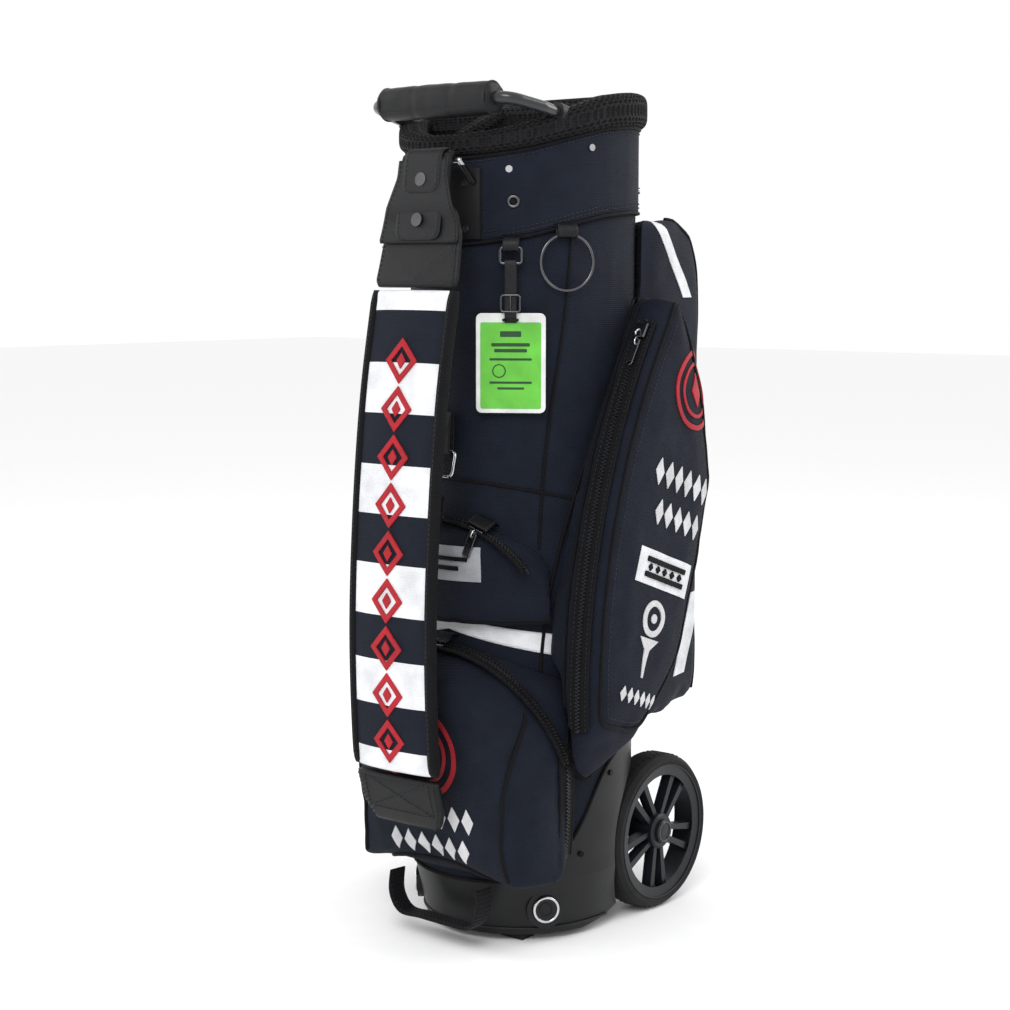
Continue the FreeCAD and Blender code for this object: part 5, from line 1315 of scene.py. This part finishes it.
def tag():
    """The hanging tag: a buckled strap, a pale card holder and a printed card with plain shapes."""
    body = "tag"
    pivot = Vector(JOINTS["tag_swing"]["pos_m"])
    out = Vector((pivot.x, pivot.y - AXIS_Y, 0)).normalized()
    side = UP.cross(out).normalized()
    low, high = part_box("tag_card")
    centre = (low + high) / 2
    top, foot = high.z, low.z
    wrap = 0.0032
    path = [pivot - out * 0.001 - UP * 0.030, pivot - out * wrap - UP * 0.006,
            pivot - out * wrap * 0.7 + UP * 0.0026,
            pivot + UP * 0.0038, pivot + out * wrap * 0.7 + UP * 0.0026, pivot + out * wrap - UP * 0.006,
            pivot + out * 0.0022 - UP * 0.04, Vector((centre.x, centre.y, top + 0.004)) + out * 0.003,
            Vector((centre.x, centre.y, top - 0.010)) + out * 0.003]
    leather_strip("tag_strap_leather", path, side, 0.0062, 0.001, body, "tag_strap", outward=out,
                  inset=0.0017,
                  spacing=0.003)
    buckle = pivot - UP * 0.041 + out * 0.0045
    frame_line = [buckle + side * (0.0098 * a) + UP * (0.0085 * b) for a, b in
                  ((-1, -0.8), (-1, 0.8), (-0.8, 1), (0.8, 1), (1, 0.8), (1, -0.8), (0.8, -1), (-0.8, -1))]
    cord_line("tag_buckle", frame_line, 0.0011, "gunmetal", body, closed=True)
    cord_line("tag_buckle_pin", [buckle + UP * 0.0085, buckle + out * 0.0008, buckle - UP * 0.009], 0.0008,
              "gunmetal", body)
    loop_line = [buckle - UP * 0.017 + side * (0.0075 * a) + out * b for a, b in
                 ((-1, -0.004), (-1, 0.0), (1, 0.0), (1, -0.004))]
    cord_line("tag_keeper", loop_line, 0.0014, "leather", body, closed=True)

    def plate(name, half_u, half_v, mid_v, lift, thick, material, corner):
        corners = []
        for cu, cv, start in ((1, 1, 0), (-1, 1, 90), (-1, -1, 180), (1, -1, 270)):
            for k in range(7):
                a = math.radians(start + 15 * k)
                corners.append((cu * (half_u - corner) + corner * math.cos(a),
                                mid_v + cv * (half_v - corner) + corner * math.sin(a)))
        verts = [Vector((centre.x, centre.y, 0)) + side * u + UP * v + out * (lift + d)
                 for d in (0.0, thick) for u, v in corners]
        n = len(corners)
        faces = [tuple(range(n))[::-1], tuple(range(n, 2 * n))]
        faces += [(k, (k + 1) % n, n + (k + 1) % n, n + k) for k in range(n)]
        made = piece(name, verts, faces, material, body, smooth=False)
        bevel = made.modifiers.new("edge", "BEVEL")
        bevel.width = thick * 0.3
        bevel.segments = 2
        return made

    mid = (top + foot) / 2
    holder = plate("tag_holder", 0.0362, (top - foot) / 2, mid, -0.0013, 0.0024, "card", 0.006)
    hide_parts("tag_card")
    plate("tag_insert", 0.0315, 0.0445, mid - 0.0025, 0.0011, 0.0006, "green", 0.002)
    marks = ((0.011, 0.003, 0.030), (0.020, 0.0018, 0.019), (0.017, 0.0018, 0.013), (0.022, 0.0012, 0.004),
             (0.022, 0.0012, -0.020), (0.014, 0.0012, -0.026))
    for k, (half_u, half_v, up) in enumerate(marks):
        plate(f"tag_mark_{k + 1}", half_u, half_v, mid + up, 0.0016, 0.0003, "ink", min(half_v * 0.9, 0.001))
    disc = Vector((centre.x, centre.y, mid - 0.008)) + out * 0.0018
    cord_line("tag_mark_ring", ring_points(disc - side * 0.012, out, 0.0065, 32), 0.0006, "ink", body,
              closed=True)


def boot():
    """Mouldings on the boot: arch ribs, corner rings, a base skirt line and screw heads."""
    for side, sign in SIDES.items():
        spin = Vector(JOINTS[f"wheel_spin_{side}"]["pos_m"])
        radius = 0.1012
        for k, x in enumerate((0.0775, 0.0835)):
            rib = []
            for step in range(41):
                a = math.radians(96 + 128 * step / 40)
                p = Vector((sign * x, spin.y + radius * math.cos(a), spin.z + radius * math.sin(a)))
                if (p.x / TUBE_RX) ** 2 + ((p.y - AXIS_Y) / TUBE_RY) ** 2 < 0.985 and p.z < boot_top(p.y) - 0.003:
                    rib.append(p)
            if len(rib) > 3:
                cord_line(f"arch_rib_{side}_{k}", rib, 0.0016, "boot")
    caps = frame["nodes"]["corner_caps"]
    for side, sign in SIDES.items():
        spots = [v.co for v in caps.data.vertices if v.co.x * sign > 0]
        centre = sum(spots, Vector()) / len(spots)
        out = Vector((centre.x / TUBE_RX ** 2, (centre.y - AXIS_Y) / TUBE_RY ** 2, 0)).normalized()
        face = centre + out * 0.0036
        cord_line(f"cap_ring_{side}", ring_points(face, out, 0.0132, 48), 0.0016, "chrome", closed=True)
        cord_line(f"cap_inner_ring_{side}", ring_points(face, out, 0.0072, 40), 0.0009, "boot", closed=True)
        dome(f"cap_boss_{side}", face - out * 0.0005, out, 0.0062, 0.0012, "boot")
    skirt = [on_oval(a, 0.0, 0.0) for a in range(-96, 97, 3)]
    low_line = [Vector((p.x * 0.905, AXIS_Y + (p.y - AXIS_Y) * 0.905, 0.0155)) for p in skirt]
    cord_line("boot_skirt", low_line, 0.0014, "boot")


def wheels():
    """Raised rings and tread ribs on the tyres, and a bright ring round each hub."""
    for side, sign in SIDES.items():
        body = f"wheel_{side}"
        spin = Vector(JOINTS[f"wheel_spin_{side}"]["pos_m"])
        low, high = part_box(f"tyre_{side}")
        outer = high.x if sign > 0 else low.x
        inner = low.x if sign > 0 else high.x
        radius = (high.z - low.z) / 2
        for name, x, r, wire in (("outer", outer - sign * 0.0012, radius - 0.0085, 0.0011),
                                 ("inner", inner + sign * 0.0012, radius - 0.0085, 0.0011),
                                 ("rim", outer - sign * 0.0012, radius - 0.0125, 0.0009)):
            cord_line(f"tyre_{name}_ridge_{side}", ring_points(Vector((x, spin.y, spin.z)), RIGHT, r, 72),
                      wire,
                      "rubber" if name != "rim" else "rim", body, closed=True)
        cap_low, cap_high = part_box(f"hub_cap_{side}")
        face = cap_high.x if sign > 0 else cap_low.x
        hub = Vector((face - sign * 0.0004, spin.y, spin.z))
        cord_line(f"hub_ring_{side}", ring_points(hub, RIGHT, 0.0108, 48), 0.0008, "gunmetal", body,
                  closed=True)
        dome(f"hub_badge_{side}", hub - RIGHT * (sign * 0.0016), RIGHT * sign, 0.0095, 0.0014, "rim", body)
        verts, faces = [], []
        count = 60
        for k in range(count):
            for x in (-0.0062, 0.0062):
                base = len(verts)
                for da, dr in ((-0.9, -0.0006), (0.9, -0.0006), (0.9, 0.00055), (-0.9, 0.00055)):
                    for dx in (-0.0042, 0.0042):
                        slope = da + dx * 160 * (1 if x > 0 else -1)
                        a = math.radians(360 * (k + (0.5 if x > 0 else 0)) / count + slope)
                        r = radius - 0.0004 + dr
                        verts.append(Vector((spin.x + x + dx, spin.y + r * math.cos(a),
                                             spin.z + r * math.sin(a))))
                faces += [(base, base + 1, base + 3, base + 2), (base + 4, base + 5, base + 7, base + 6),
                          (base + 2, base + 3, base + 5, base + 4), (base + 6, base + 7, base + 1, base),
                          (base, base + 2, base + 4, base + 6), (base + 1, base + 7, base + 5, base + 3)]
        piece(f"tyre_tread_{side}", verts, faces, "rubber", body, smooth=False)


def garage_tabs():
    """Small leather tabs that cover the closed ends of the front zips."""
    for name, joint in (("ball", "ball_zip_travel"), ("small", "small_zip_travel")):
        centre, axis = pin_of(joint)
        arm = middle(f"{name}_slider") - centre
        arm = arm - axis * arm.dot(axis)
        radius = arm.length + 0.0005
        arm = arm.normalized()
        tangent = axis.cross(arm)
        path = [centre + arm * (radius - 0.0045) + axis * 0.0185,
                centre + arm * (radius + 0.0042) + axis * 0.0125,
                centre + arm * (radius + 0.0052) + axis * 0.002,
                centre + arm * (radius + 0.0048) - axis * 0.006]
        leather_strip(f"{name}_garage", path, tangent, 0.0125, 0.001, "bag", outward=arm, inset=0.002,
                      spacing=0.003)


def cad_materials():
    """Materials for the CAD nodes that are shown."""
    choice = {
        "divider_panels": "lining", "mouth_frame": "hidden", "handle_tube": "tube",
        "handle_sleeves": "hidden",
        "base_boot": "boot", "corner_caps": "hidden", "foot_pads": "rubber", "axle": "gunmetal",
        "fixings": "studs",
        "strap_bar": "bar", "strap_anchor": "hidden", "strap_snaps": "gunmetal", "spine_ring": "chrome",
        "swivel_hook": "chrome", "towel_ring": "gunmetal", "tag_ring": "gunmetal",
    }
    for side in SIDES:
        choice.update({f"tyre_{side}": "rubber", f"wheel_rim_{side}": "rim", f"wheel_bush_{side}": "hidden",
                       f"hub_cap_{side}": "rim", f"side_slider_{side}": "gunmetal",
                       f"side_pull_{side}": "gunmetal"})
    for stem in ("ball", "small", "back"):
        choice.update({f"{stem}_slider": "gunmetal", f"{stem}_pull": "gunmetal"})
    for node, material in choice.items():
        data = frame["nodes"][node].data
        data.materials.clear()
        data.materials.append(M[material])
        smooth_flats(frame["nodes"][node])


def smooth_flats(thing):
    """Smooth shading that keeps sharp edges sharp."""
    thing.data.polygons.foreach_set("use_smooth", [True] * len(thing.data.polygons))
    thing.data.set_sharp_from_angle(angle=math.radians(32))


# ---------------------------------------------------------------- camera, floor and light

CAMERA_ANGLE, CAMERA_DISTANCE, CAMERA_HEIGHT = math.radians(38.5), 2.2, 0.715
LENS, CAMERA_TILT, CAMERA_TURN = 71.29, 6.56, 0.516


def studio():
    camera = placed("camera", bpy.data.cameras.new("camera"))
    camera.data.lens = LENS
    camera.data.sensor_width = 36.0
    camera.data.clip_start = 0.05
    camera.location = (CAMERA_DISTANCE * math.sin(CAMERA_ANGLE),
                       AXIS_Y - CAMERA_DISTANCE * math.cos(CAMERA_ANGLE),
                       CAMERA_HEIGHT)
    camera.rotation_euler = (math.radians(90 - CAMERA_TILT), 0, CAMERA_ANGLE + math.radians(CAMERA_TURN))
    bpy.context.scene.camera = camera
    floor_material = surface("studio_floor", (0.93, 0.93, 0.93), 0.9, specular=0.02, vary=0.01)[0]
    bpy.ops.mesh.primitive_plane_add(size=30, location=(0, 0, 0))
    floor = bpy.context.object
    floor.name = "floor"
    floor.data.materials.append(floor_material)
    world = bpy.data.worlds.new("studio")
    world.use_nodes = True
    world.node_tree.nodes["Background"].inputs["Color"].default_value = (1.0, 1.0, 1.0, 1)
    world.node_tree.nodes["Background"].inputs["Strength"].default_value = 1.0
    bpy.context.scene.view_settings.view_transform = "Standard"
    bpy.context.scene.world = world
    lights = (("key", (1.4, -2.6, 2.6), 60.0, 1.6), ("fill", (-2.4, -1.2, 1.5), 20.0, 2.0),
              ("rim", (1.6, 2.2, 2.2), 30.0, 1.6))
    for name, place, power, size in lights:
        light = bpy.data.lights.new(name, "AREA")
        light.energy = power
        light.size = size
        lamp = placed(name, light)
        lamp.location = place
        lamp.rotation_euler = (Vector((0, 0, 0.45)) - Vector(place)).to_track_quat("-Z", "Y").to_euler()


studio()
tube_and_collar()
mouth_padding()
front_pockets()
side_pockets()
back_pocket()
zips()
zip_hardware()
garage_tabs()
strap()
straps_and_tabs()
handle()
tag()
boot()
wheels()
cad_materials()
